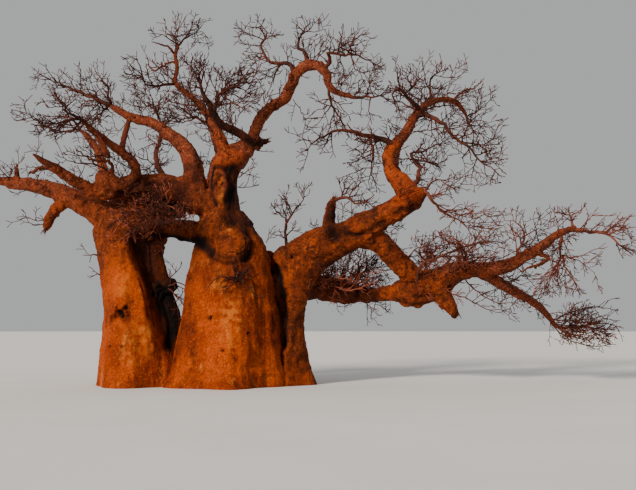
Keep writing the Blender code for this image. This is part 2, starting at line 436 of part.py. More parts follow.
def to_mesh(holder, group):
    """A welded mesh object in the collection, in place of a curve object."""
    graph = bpy.context.evaluated_depsgraph_get()
    mesh = bpy.data.meshes.new_from_object(holder.evaluated_get(graph))
    work = bmesh.new()
    work.from_mesh(mesh)
    bmesh.ops.remove_doubles(work, verts=work.verts, dist=WELD)
    bmesh.ops.recalc_face_normals(work, faces=work.faces)
    bmesh.ops.triangulate(work, faces=work.faces, quad_method="FIXED")
    work.to_mesh(mesh)
    work.free()
    name = holder.name
    placed = bpy.data.objects.new(name + "_mesh", mesh)
    placed.matrix_world = holder.matrix_world.copy()
    bpy.data.objects.remove(holder, do_unlink=True)
    placed.name = name
    group.objects.link(placed)
    return placed


def tubes_to_meshes(holders, group):
    for holder in holders:
        group.objects.link(holder)
    bpy.context.view_layer.update()
    return [to_mesh(holder, group) for holder in holders]


def stem_mesh(name, plan, grow, group):
    """A loft of lobed rings from the flat cut at the ground to the fork; grow is added all round."""
    knots = []
    for height, left, right, middle, half_depth in plan["sections"]:
        low, high = at(left, height, middle), at(right, height, middle)
        knots.append((0.5 * (low.x + high.x), middle, low.z, 0.5 * (high.x - low.x), half_depth))
    ground = knots[0][2]
    top = knots[-1][2] - ground
    lows = [knot[2] - ground for knot in knots]
    count = round(top / STEM_STEP)
    levels = [top * number / count for number in range(count + 1)]
    if grow:
        levels.insert(0, -BURIED)
    work = bmesh.new()
    rings = []
    for level in levels:
        centre_x, centre_y, half_width, half_depth = (
            np.interp(level, lows, [knot[column] for knot in knots]) for column in (0, 1, 3, 4))
        share = max(level, 0.0) / top
        lobe = plan["foot_lobe"] * (1.0 - share) ** 2 + plan["top_lobe"]
        ring = []
        for side in range(STEM_SIDES):
            angle = math.tau * side / STEM_SIDES
            swell = 1.0 + lobe * math.cos(plan["lobes"] * angle + plan["phase"] + LOBE_WIND * share)
            swell += LONG_SWELL * lobe * math.cos(2.0 * angle - plan["phase"])
            ring.append((math.cos(angle) * swell, math.sin(angle) * swell))
        left = min(x for x, y in ring)
        right = max(x for x, y in ring)
        lift = grow if share == 1.0 else 0.0
        rings.append([work.verts.new((
            centre_x + (2.0 * (x - left) / (right - left) - 1.0) * (half_width + grow),
            centre_y + y * (half_depth + grow), level + lift)) for x, y in ring])
    for low_ring, high_ring in zip(rings, rings[1:]):
        for side in range(STEM_SIDES):
            after = (side + 1) % STEM_SIDES
            work.faces.new((low_ring[side], low_ring[after], high_ring[after], high_ring[side]))
    work.faces.new(reversed(rings[0]))
    work.faces.new(rings[-1])
    sides = [face for face in work.faces if len(face.verts) == 4]
    bmesh.ops.triangulate(work, faces=sides, quad_method="FIXED")
    mesh = bpy.data.meshes.new(name)
    work.to_mesh(mesh)
    work.free()
    placed = bpy.data.objects.new(name, mesh)
    group.objects.link(placed)
    return placed


def apply_boolean(target, operation, operands, solver="EXACT"):
    """Joins or cuts the target by every object of the operands' collection, and applies it."""
    change = target.modifiers.new("change", "BOOLEAN")
    change.operation = operation
    change.operand_type = "COLLECTION"
    change.collection = operands
    change.solver = solver
    bpy.context.view_layer.update()
    graph = bpy.context.evaluated_depsgraph_get()
    mesh = bpy.data.meshes.new_from_object(target.evaluated_get(graph))
    target.modifiers.remove(change)
    return mesh


def islands(work):
    """The separate pieces of a mesh, as lists of faces that share edges, largest box first."""
    waiting = set(work.faces)
    found = []
    while waiting:
        seed = waiting.pop()
        piece = [seed]
        rim = [seed]
        while rim:
            for edge in rim.pop().edges:
                for face in edge.link_faces:
                    if face in waiting:
                        waiting.remove(face)
                        piece.append(face)
                        rim.append(face)
        found.append(piece)

    def reach(piece):
        corners = [vertex.co for face in piece for vertex in face.verts]
        return float(np.linalg.norm(np.max(corners, axis=0) - np.min(corners, axis=0)))

    return sorted(found, key=reach, reverse=True)


def tidy_mesh(mesh, flatten):
    """Drops loose scraps and slivers of edges; says whether one closed body is left.

    Flattening merges faces that lie in one plane, which a solid with seats cut by it can't have.
    """
    work = bmesh.new()
    work.from_mesh(mesh)
    bmesh.ops.remove_doubles(work, verts=work.verts, dist=WELD)
    bmesh.ops.dissolve_degenerate(work, edges=work.edges, dist=WELD)
    scraps = [face for piece in islands(work)[1:] for face in piece]
    bmesh.ops.delete(work, geom=scraps, context="FACES")
    bmesh.ops.recalc_face_normals(work, faces=work.faces)
    if flatten:
        bmesh.ops.dissolve_limit(work, angle_limit=FLAT_WITHIN, verts=work.verts, edges=work.edges)
        bmesh.ops.triangulate(work, faces=work.faces)
    closed = bool(work.edges) and all(len(edge.link_faces) == 2 for edge in work.edges)
    work.to_mesh(mesh)
    work.free()
    return closed


def box_of(thing):
    corners = [thing.matrix_world @ vertex.co for vertex in thing.data.vertices]
    return np.min(corners, axis=0), np.max(corners, axis=0)


def boxes_meet(first, second):
    return bool(np.all(first[0] <= second[1]) and np.all(second[0] <= first[1]))


def changed_mesh(target, operation, operands, group, flatten):
    """One Boolean on a collection, by the exact solver, or by the other where that leaves holes."""
    for operand in operands:
        group.objects.link(operand)
    for solver in ("EXACT", "MANIFOLD"):
        mesh = apply_boolean(target, operation, group, solver)
        whole = tidy_mesh(mesh, flatten)
        if whole:
            break
    for operand in operands:
        group.objects.unlink(operand)
    return mesh if whole else None


def change_mesh(target, operation, operands, group, flatten=False):
    """Joins or cuts the target by all the operands at once.

    Where that leaves holes they are taken one at a time, and one that still leaves holes is left out.
    """
    mesh = changed_mesh(target, operation, operands, group, flatten)
    if mesh:
        target.data = mesh
        return
    for operand in operands:
        mesh = changed_mesh(target, operation, [operand], group, flatten)
        if mesh:
            target.data = mesh
        else:
            print(target.name, operation, "leaves out", operand.name)


class Tree:
    """The solids made so far, the grown copies that cut seats into later ones, and the space taken."""

    def __init__(self):
        scene = bpy.context.scene.collection
        self.parts = collection(TREE, scene)
        self.cutters = collection("cutters", scene)
        self.bench = collection("bench", scene)
        self.operands = collection("operands", scene)
        self.seats = []
        self.capsules = []
        self.profile = three_sided_profile()
        self.bench.objects.link(self.profile)

    def finish(self, solid, material):
        self.bench.objects.unlink(solid)
        self.parts.objects.link(solid)
        solid.data.materials.clear()
        solid.data.materials.append(material)
        solid.data.shade_smooth()
        solid.data.set_sharp_from_angle(angle=math.radians(50.0))

    def cut_seats(self, solid):
        """Cuts the solid clear of every earlier limb whose box meets its own."""
        box = box_of(solid)
        near = [seat for seat, seat_box in self.seats if boxes_meet(box, seat_box)]
        if near:
            change_mesh(solid, "DIFFERENCE", near, self.operands)

    def add_seats(self, cutters):
        for cutter in cutters:
            self.bench.objects.unlink(cutter)
            self.seats.append((cutter, box_of(cutter)))

    def fill_space(self, path, owner):
        for start, end in zip(path, path[1:]):
            self.capsules.append((*start[:3], *end[:3], max(start[3], end[3]), owner))

    def is_clear(self, path, owner):
        """Whether a twig keeps clear of the limbs, and of the twigs of other masses."""
        capsules = np.array([capsule[:7] for capsule in self.capsules if capsule[7] != owner])
        starts, ends, radii = capsules[:, :3], capsules[:, 3:6], capsules[:, 6]
        spans = ends - starts
        for before, point in zip(path, path[1:]):
            for place in (0.5 * (before[:3] + point[:3]), point[:3]):
                along = np.einsum("ij,ij->i", place - starts, spans) / np.einsum("ij,ij->i", spans, spans)
                nearest = starts + np.clip(along, 0.0, 1.0)[:, None] * spans
                gaps = np.linalg.norm(place - nearest, axis=1) - radii - point[3]
                if gaps.min() < TWIG_CLEARANCE:
                    return False
        return True


def sides_for(radius):
    return 8 if radius > 0.14 else 6


def knots_of(axis):
    return [(*at(right, height, depth), radius) for right, height, depth, radius in axis]


def make_stem(tree, name, plan, material):
    solid = stem_mesh(name, plan, 0.0, tree.bench)
    tree.cut_seats(solid)
    tree.finish(solid, material)
    tree.add_seats([stem_mesh(name + "_seat", plan, CLEARANCE, tree.bench)])
    for low, high in zip(plan["sections"], plan["sections"][1:]):
        middle = [(*at(0.5 * (left + right), height, depth), 0.45 * (right - left))
                  for height, left, right, depth, half_depth in (low, high)]
        tree.fill_space(np.array(middle), "stems")


def make_bough(tree, name, plan, material):
    axes = [plan["axis"], *plan.get("spurs", [])]
    paths = [smooth_path(knots_of(axis), RING_STEP, SHORTEST_STEP) for axis in axes]
    sides = [sides_for(path[0][3]) for path in paths]
    holders = [tube(f"{name}_{number}", path, side)
               for number, (path, side) in enumerate(zip(paths, sides))]
    solids = tubes_to_meshes(holders, tree.bench)
    solid = solids[0]
    for spur in solids[1:]:
        tree.bench.objects.unlink(spur)
    if len(solids) > 1:
        change_mesh(solid, "UNION", solids[1:], tree.operands)
    for spur in solids[1:]:
        bpy.data.objects.remove(spur, do_unlink=True)
    tree.cut_seats(solid)
    solid.name = name
    tree.finish(solid, material)
    grown = [tube(f"{name}_seat_{number}", lengthened(path, 0.0, CLEARANCE), side)
             for number, (path, side) in enumerate(zip(paths, sides))]
    tree.add_seats(tubes_to_meshes(grown, tree.bench))
    for path in paths:
        tree.fill_space(path, "boughs")


def guide_path(line, start_radius, start_depth, end_depth, root=None):
    """A mass's own stem or fork: it tapers, and its depth changes evenly, from its root to its tip.

    A fork starts from its root, a point on the stem, in place of its line's first point.
    """
    lengths = [0.0]
    for before, after in zip(line, line[1:]):
        lengths.append(lengths[-1] + math.dist(before, after))
    knots = []
    for (right, height), length in zip(line, lengths):
        share = length / lengths[-1]
        radius = start_radius + (TWIG_TIP - start_radius) * share ** TAPER
        knots.append((*at(right, height, start_depth + (end_depth - start_depth) * share), radius))
    if root is not None:
        knots[0] = (*root[:3], start_radius)
    return smooth_path(knots, RING_STEP, 2.0 * SHORTEST_STEP)


def nearest_on(path, right, height):
    """The point of the path, with its radius, that lies nearest to a place as it is seen."""
    best = None
    for start, end in zip(path, path[1:]):
        for share in np.linspace(0.0, 1.0, 9):
            point = start * (1.0 - share) + end * share
            gap = (Vector(point[:3]) - at(right, height, point[1])).length
            if best is None or gap < best[0]:
                best = (gap, point)
    return best[1]


def crooked_twig(start, heading, length, radius, bends, rng):
    """A tapering twig that turns left and right at its joints."""
    anywhere = Vector((rng.uniform(-1, 1), rng.uniform(-1, 1), rng.uniform(-1, 1)))
    side = heading.cross(anywhere).normalized()
    path = [np.array((*start, radius))]
    place = Vector(start)
    for joint in range(1, bends + 1):
        turn = KINK * rng.uniform(*KINKS) * (1 if joint % 2 else -1)
        heading = Matrix.Rotation(turn, 3, side) @ heading
        place = place + heading * (length / bends)
        path.append(np.array((*place, radius + (TWIG_TIP - radius) * joint / bends)))
    return path


def side_twigs(tree, name, line, spacing, reach, bends, space, first_turn):
    """The twigs that leave one line by turns round it, each inside the mass's space and clear of limbs."""
    lengths = np.cumsum([0.0] + [np.linalg.norm(end[:3] - start[:3]) for start, end in zip(line, line[1:])])
    count = int(lengths[-1] / spacing)
    grown = []
    for number in range(count):
        along = lengths[-1] * (number + 0.9) / (count + 0.4)
        segment = min(int(np.searchsorted(lengths, along, side="right")) - 1, len(line) - 2)
        share = (along - lengths[segment]) / (lengths[segment + 1] - lengths[segment])
        site = line[segment] * (1.0 - share) + line[segment + 1] * share
        axis = Vector(line[segment + 1][:3] - line[segment][:3]).normalized()
        rng = random.Random(f"{name} {first_turn} {number}")
        for attempt in range(TRIES):
            turn = first_turn + GOLDEN_TURN * (number + TRY_TURN * attempt)
            outward = Matrix.Rotation(turn, 3, axis) @ axis.orthogonal().normalized()
            heading = axis * math.cos(LEAVING_ANGLE) + outward * math.sin(LEAVING_ANGLE)
            length = reach * rng.uniform(*LENGTHS) * (1.0 - LOSS_TO_TIP * along / lengths[-1])
            length *= TRY_LENGTH ** attempt
            radius = min(TWIG_ROOT_SHARE * site[3], TWIG_ROOT)
            twig = crooked_twig(site[:3], heading, length, radius, bends, rng)
            inside = all(np.all(space[0] <= point[:3]) and np.all(point[:3] <= space[1]) for point in twig)
            if inside and tree.is_clear(twig, name):
                grown.append(twig)
                break
    return grown


def make_mass(tree, name, plan, material):
    """One stem with its forks, and twigs that branch from them twice by one rule, as one body."""
    root_depth, tip_depth = plan["depths"]
    stem = guide_path(plan["stem"], plan["radius"], root_depth, tip_depth)
    lines = [stem]
    for line, fork_tip_depth in plan["forks"]:
        root = nearest_on(stem, *line[0])
        lines.append(guide_path(line, FORK_SHARE * root[3], root[1], fork_tip_depth, root))
    reach = plan["reach"]
    corners = np.array([point[:3] for line in lines for point in line])
    space = (corners.min(axis=0) - SPACE_SHARE * reach, corners.max(axis=0) + SPACE_SHARE * reach)
    space[0][2] = max(space[0][2], BURIED)
    twigs = []
    for number, line in enumerate(lines):
        twigs += side_twigs(tree, name, line, TWIG_SPACING, reach, TWIG_BENDS, space, float(number))
    for number, twig in enumerate(list(twigs)):
        twigs += side_twigs(tree, name, twig, SIDE_TWIG_SPACING_SHARE * reach, SIDE_TWIG_SHARE * reach, 1,
                            space, 10.0 + number)
    sunk = lengthened(stem, ROOT_SINK * plan["radius"], 0.0)
    holders = [tube(f"{name}_{number}", path, TWIG_SIDES, tree.profile)
               for number, path in enumerate([sunk, *lines[1:], *twigs])]
    solids = tubes_to_meshes(holders, tree.bench)
    solid = solids[0]
    for line in solids[:len(lines)]:
        tree.cut_seats(line)
    for twig in solids[1:]:
        tree.bench.objects.unlink(twig)
    change_mesh(solid, "UNION", solids[1:], tree.operands, flatten=True)
    for twig in solids[1:]:
        bpy.data.objects.remove(twig, do_unlink=True)
    solid.name = name
    tree.finish(solid, material)
    for path in [*lines, *twigs]:
        tree.fill_space(path, name)


def main():
    clear_scene()
    tree = Tree()
    for name, plan in STEMS.items():
        make_stem(tree, name, plan, make_material(name + "_bark", **BARK))
    for name, plan in BOUGHS.items():
        make_bough(tree, name, plan, make_material(name + "_bark", **BARK))
    for name, plan in MASSES.items():
        make_mass(tree, name, plan, make_material(name + "_bark", **TWIG_BARK))
    for seat, seat_box in tree.seats:
        tree.cutters.objects.link(seat)
        seat.hide_render = True
        seat.display_type = "WIRE"
    bpy.data.objects.remove(tree.profile, do_unlink=True)
    for name in ("bench", "operands"):
        bpy.data.collections.remove(bpy.data.collections[name])


main()
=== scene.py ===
"""The looks of a bare baobab: bark with its relief on three fused stems, and twigs down to fine tips.

Metres, +Z up. The ground is z = 0 and the origin lies under the main stem.
"""
import itertools
import math
import random

import bmesh
import bpy
import numpy as np
from mathutils import Matrix, Vector
from mathutils.bvhtree import BVHTree


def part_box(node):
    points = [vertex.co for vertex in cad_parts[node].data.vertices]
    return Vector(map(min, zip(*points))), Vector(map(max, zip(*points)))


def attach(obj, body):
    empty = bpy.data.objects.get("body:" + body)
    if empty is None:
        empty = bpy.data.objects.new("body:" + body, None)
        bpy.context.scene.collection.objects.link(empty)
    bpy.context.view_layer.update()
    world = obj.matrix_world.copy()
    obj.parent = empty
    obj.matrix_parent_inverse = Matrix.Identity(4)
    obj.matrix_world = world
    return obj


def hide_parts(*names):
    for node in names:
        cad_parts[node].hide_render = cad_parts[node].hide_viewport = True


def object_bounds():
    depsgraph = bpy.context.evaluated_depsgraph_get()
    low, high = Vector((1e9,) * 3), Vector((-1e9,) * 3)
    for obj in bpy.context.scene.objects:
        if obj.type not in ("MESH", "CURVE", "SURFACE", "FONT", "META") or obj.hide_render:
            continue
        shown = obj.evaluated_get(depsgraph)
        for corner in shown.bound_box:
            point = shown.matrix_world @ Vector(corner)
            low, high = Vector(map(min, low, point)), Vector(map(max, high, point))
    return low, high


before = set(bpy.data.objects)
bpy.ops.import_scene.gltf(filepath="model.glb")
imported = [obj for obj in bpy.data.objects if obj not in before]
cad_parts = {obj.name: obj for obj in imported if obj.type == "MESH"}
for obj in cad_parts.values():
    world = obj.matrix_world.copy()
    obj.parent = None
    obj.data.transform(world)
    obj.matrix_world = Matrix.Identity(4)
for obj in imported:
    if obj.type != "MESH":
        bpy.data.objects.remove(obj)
CAD_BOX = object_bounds()

# The limbs are laid out as they look from a viewpoint in front of the tree. A place is its distance
# to the right of the main stem and its height, on the upright plane through the stem, and its depth.
EYE = Vector((2.86, -25.0, 1.60))
AIM = Vector((2.86, 0.0, 3.86))
SIGHT = AIM - EYE
RIGHT = Vector((1.0, 0.0, 0.0))
UPWARD = RIGHT.cross(SIGHT).normalized()
LENS = 51.2
SENSOR_WIDTH = 36.0
CLIP_END = 1000.0

# Stems: height, left edge, right edge, depth of the middle and half depth of each section; then how
# many lobes go round, their phase, and how far they stand out at the foot and at the top
STEMS = {
    "main_stem": ([(0.0, -1.32, 2.02, 0.0, 1.78), (0.45, -1.12, 1.9, 0.0, 1.5),
        (1.1, -0.99, 1.82, 0.0, 1.33), (1.9, -0.85, 1.77, 0.0, 1.24), (2.7, -0.71, 1.67, 0.0, 1.14),
        (3.4, -0.57, 1.56, 0.0, 1.0), (3.9, -0.5, 1.38, 0.0, 0.84), (4.3, -0.52, 1.16, 0.0, 0.68),
        (4.75, -0.42, 0.82, 0.0, 0.52), (5.1, -0.1, 0.5, 0.0, 0.28)],
        5, 0.5, 0.07, 0.03),
    "west_stem": ([(0.0, -3.32, -0.8, 0.05, 1.32), (0.5, -3.2, -0.88, 0.05, 1.13),
        (1.2, -3.13, -0.93, 0.05, 1.02), (2.0, -3.09, -1.0, 0.05, 0.95), (2.8, -3.13, -1.27, 0.05, 0.88),
        (3.6, -3.22, -1.5, 0.05, 0.8), (4.3, -3.36, -1.45, 0.05, 0.68), (4.75, -3.2, -1.75, 0.05, 0.52),
        (5.15, -2.8, -2.1, 0.05, 0.28)],
        4, 1.1, 0.065, 0.045),
    "east_stem": ([(0.0, 1.05, 2.86, 0.45, 0.85), (0.5, 1.4, 2.66, 0.42, 0.66),
        (1.2, 1.62, 2.5, 0.38, 0.54), (2.0, 1.78, 2.46, 0.32, 0.48), (2.7, 1.8, 2.66, 0.28, 0.5),
        (3.2, 1.72, 2.9, 0.24, 0.46), (3.6, 1.8, 2.7, 0.22, 0.26)],
        4, 0.3, 0.06, 0.03),
}

# Boughs: right, height, depth and radius along the axis, then along each short side piece
BOUGHS = {
    "leader": [[(0.22, 4.35, 0.0, 0.5), (0.24, 4.9, 0.0, 0.45), (0.2, 5.45, 0.0, 0.4),
        (0.24, 5.92, 0.0, 0.42), (0.5, 6.27, 0.02, 0.37), (0.85, 6.52, 0.05, 0.29), (1.12, 6.66, 0.08, 0.2)],
        [(1.02, 6.61, 0.05, 0.15), (1.3, 6.7, 0.03, 0.1), (1.47, 6.76, 0.02, 0.07)]],
    "crossing_bough": [[(0.05, 4.75, 0.0, 0.4), (-0.5, 5.15, -0.12, 0.36), (-1.1, 5.42, -0.28, 0.33),
        (-1.8, 5.5, -0.42, 0.3), (-2.5, 5.42, -0.55, 0.25), (-3.1, 5.3, -0.75, 0.2),
        (-3.65, 5.5, -1.0, 0.17), (-4.25, 5.88, -1.35, 0.14), (-4.78, 6.2, -1.7, 0.09),
        (-5.03, 6.37, -1.9, 0.03)],
        [(-4.25, 5.86, -1.35, 0.06), (-4.7, 5.99, -1.5, 0.05), (-5.15, 5.86, -1.6, 0.03)]],
    "west_bough": [[(-2.75, 4.35, 0.05, 0.4), (-3.2, 4.74, 0.14, 0.34), (-3.7, 5.03, 0.32, 0.32),
        (-4.15, 5.25, 0.52, 0.28), (-4.6, 5.41, 0.72, 0.22), (-5.2, 5.54, 0.98, 0.2),
        (-5.7, 5.6, 1.2, 0.15), (-6.0, 5.64, 1.32, 0.1)],
        [(-4.08, 5.17, 0.48, 0.2), (-4.42, 4.82, 0.4, 0.16), (-4.62, 4.52, 0.35, 0.15),
         (-4.67, 4.28, 0.32, 0.1)],
        [(-5.48, 5.6, 1.1, 0.08), (-5.5, 6.05, 1.12, 0.06)]],
    "bridge_bough": [[(-1.95, 4.22, 0.1, 0.3), (-1.3, 4.32, 0.05, 0.27), (-0.7, 4.25, 0.05, 0.29),
        (-0.1, 4.15, 0.05, 0.33)],
        [(-1.62, 4.4, -0.05, 0.13), (-1.72, 4.28, -0.45, 0.12), (-1.8, 4.1, -0.68, 0.1)]],
    "east_bough": [[(1.98, 2.7, 0.28, 0.38), (2.26, 3.24, 0.24, 0.54), (2.72, 3.66, 0.15, 0.57),
        (3.2, 3.92, 0.03, 0.52), (3.68, 4.12, -0.13, 0.47), (4.25, 4.42, -0.32, 0.38),
        (4.85, 4.78, -0.5, 0.32), (5.3, 5.02, -0.62, 0.33), (5.62, 5.22, -0.68, 0.25)],
        [(3.15, 4.2, 0.04, 0.19), (3.19, 4.75, 0.1, 0.14), (3.28, 5.12, 0.16, 0.12)]],
    "curled_limb": [[(-3.05, 5.66, -0.86, 0.25), (-2.72, 5.52, -0.8, 0.2), (-2.4, 5.6, -0.76, 0.17),
        (-2.2, 5.88, -0.82, 0.14), (-2.32, 6.2, -0.95, 0.125), (-2.58, 6.42, -1.12, 0.12),
        (-2.84, 6.61, -1.3, 0.11), (-3.15, 6.86, -1.55, 0.09), (-3.45, 7.08, -1.8, 0.075),
        (-3.67, 7.32, -2.02, 0.06)],
        [(-3.32, 7.0, -1.7, 0.06), (-3.14, 6.66, -1.78, 0.08), (-2.98, 6.35, -1.85, 0.09)],
        [(-2.6, 6.42, -1.14, 0.08), (-2.53, 6.8, -0.5, 0.08), (-2.38, 7.36, 0.55, 0.07)],
        [(-2.88, 5.66, -0.85, 0.06), (-2.88, 6.12, -1.0, 0.05), (-3.41, 6.23, -1.25, 0.03),
         (-3.82, 6.48, -1.45, 0.015)]],
    "arch_bough": [[(-0.62, 5.2, -0.15, 0.34), (-0.6, 5.75, -0.1, 0.28), (-0.66, 6.22, 0.0, 0.235),
        (-0.95, 6.68, 0.12, 0.2), (-1.45, 7.07, 0.28, 0.165)]],
    "arch_limb": [[(-1.38, 7.02, 0.26, 0.15), (-1.8, 7.27, 0.38, 0.145), (-2.3, 7.39, 0.55, 0.13),
        (-2.84, 7.69, 0.8, 0.09)]],
    "red_limb": [[(0.32, 6.22, 0.02, 0.2), (0.22, 6.62, 0.1, 0.165), (0.08, 6.95, 0.2, 0.15),
        (-0.08, 7.25, 0.32, 0.13), (-0.24, 7.52, 0.45, 0.11), (-0.48, 7.82, 0.62, 0.09),
        (-0.8, 8.08, 0.85, 0.08), (-1.1, 8.37, 1.05, 0.075), (-1.05, 8.76, 1.2, 0.065),
        (-1.1, 9.15, 1.3, 0.055), (-1.03, 9.41, 1.4, 0.045)],
        [(-1.05, 8.9, 1.24, 0.035), (-1.33, 8.9, 1.4, 0.03), (-1.7, 8.7, 1.6, 0.025),
         (-1.9, 9.05, 1.8, 0.01)],
        [(-1.09, 9.14, 1.3, 0.035), (-1.33, 9.37, 1.1, 0.028), (-1.75, 9.5, 0.8, 0.012)]],
    "dark_limb": [[(1.15, 6.6, 0.0, 0.14), (0.85, 6.83, -0.2, 0.125), (0.5, 7.05, -0.4, 0.11),
        (0.15, 7.22, -0.55, 0.105), (-0.02, 7.5, -0.66, 0.1), (-0.15, 7.8, -0.76, 0.085)]],
    "crown_limb": [[(1.0, 6.58, 0.08, 0.19), (1.08, 6.95, 0.2, 0.165), (1.24, 7.33, 0.35, 0.155),
        (1.55, 7.68, 0.5, 0.16), (1.93, 7.92, 0.6, 0.155), (2.1, 8.27, 0.55, 0.15),
        (2.3, 8.66, 0.32, 0.165), (2.62, 8.87, 0.02, 0.155)]],
    "crown_limb_outer": [[(2.56, 8.84, 0.05, 0.14), (2.9, 8.82, -0.3, 0.135), (3.1, 8.58, -0.55, 0.12),
        (3.16, 8.3, -0.76, 0.1), (3.38, 8.1, -1.0, 0.085), (3.8, 7.97, -1.3, 0.06)]],
    "east_riser": [[(5.52, 5.08, -0.64, 0.33), (5.2, 5.52, -0.56, 0.29), (4.87, 5.93, -0.42, 0.18),
        (4.79, 6.27, -0.27, 0.155), (4.93, 6.58, -0.13, 0.175), (5.28, 6.93, 0.0, 0.15),
        (5.47, 7.28, 0.08, 0.13), (5.66, 7.6, 0.13, 0.115)]],
    "east_crown_limb": [[(5.62, 7.53, 0.12, 0.1), (5.95, 7.8, 0.42, 0.09), (6.35, 7.9, 0.78, 0.085),
        (6.7, 7.82, 1.06, 0.075), (6.95, 7.5, 1.28, 0.055)],
        [(6.62, 7.84, 1.0, 0.04), (6.85, 8.1, 1.2, 0.03), (7.15, 8.22, 1.45, 0.02), (7.42, 8.4, 1.7, 0.01)]],
    "prop_bough": [[(4.05, 4.12, -0.2, 0.3), (4.5, 3.98, -0.1, 0.3), (4.95, 3.55, 0.12, 0.29),
        (5.35, 3.12, 0.36, 0.3), (5.72, 2.85, 0.55, 0.3)]],
    "low_bough": [[(4.7, 2.5, 0.78, 0.14), (5.15, 2.57, 0.72, 0.34), (5.7, 2.65, 0.62, 0.5),
        (6.25, 2.88, 0.52, 0.42), (6.75, 3.13, 0.42, 0.27), (7.2, 3.2, 0.32, 0.23)],
        [(6.12, 2.62, 0.5, 0.3), (6.45, 2.27, 0.42, 0.22), (6.66, 1.97, 0.36, 0.13)]],
    "far_bough": [[(7.08, 3.19, 0.34, 0.205), (7.6, 3.21, 0.2, 0.2), (8.1, 3.27, 0.02, 0.19),
        (8.5, 3.48, -0.2, 0.16), (9.05, 3.82, -0.5, 0.13), (9.55, 4.18, -0.8, 0.1),
        (9.95, 4.31, -1.02, 0.085)],
        [(8.8, 3.68, -0.36, 0.055), (9.25, 3.5, -0.62, 0.06), (8.9, 3.28, -0.82, 0.04),
         (8.45, 3.1, -1.0, 0.012)]],
    "descending_bough": [[(7.35, 3.12, 0.28, 0.15), (7.8, 2.87, 0.55, 0.155), (8.3, 2.58, 0.86, 0.14),
        (8.8, 2.3, 1.15, 0.12), (9.15, 2.0, 1.36, 0.1), (9.42, 1.65, 1.52, 0.07)]],
    "low_back_bough": [[(2.3, 2.6, 0.4, 0.28), (3.0, 2.62, 0.92, 0.26), (3.7, 2.5, 1.42, 0.22),
        (4.3, 2.46, 1.9, 0.16), (4.85, 2.4, 2.35, 0.1)]],
    "back_bough": [[(0.3, 4.55, 0.2, 0.32), (0.26, 5.2, 0.85, 0.25), (0.25, 5.95, 1.45, 0.19),
        (0.05, 6.75, 2.05, 0.14), (-0.2, 7.4, 2.6, 0.1)]],
    "back_east_bough": [[(5.28, 4.98, -0.55, 0.22), (5.2, 5.5, 0.2, 0.19), (4.95, 6.1, 0.95, 0.15),
        (5.15, 6.8, 1.65, 0.12), (5.5, 7.38, 2.3, 0.09)]],
    "back_west_bough": [[(-2.45, 4.6, 0.25, 0.28), (-2.75, 5.25, 1.05, 0.21), (-3.05, 5.8, 1.7, 0.16),
        (-3.25, 6.45, 2.15, 0.12), (-3.6, 6.95, 2.6, 0.085)]],
}

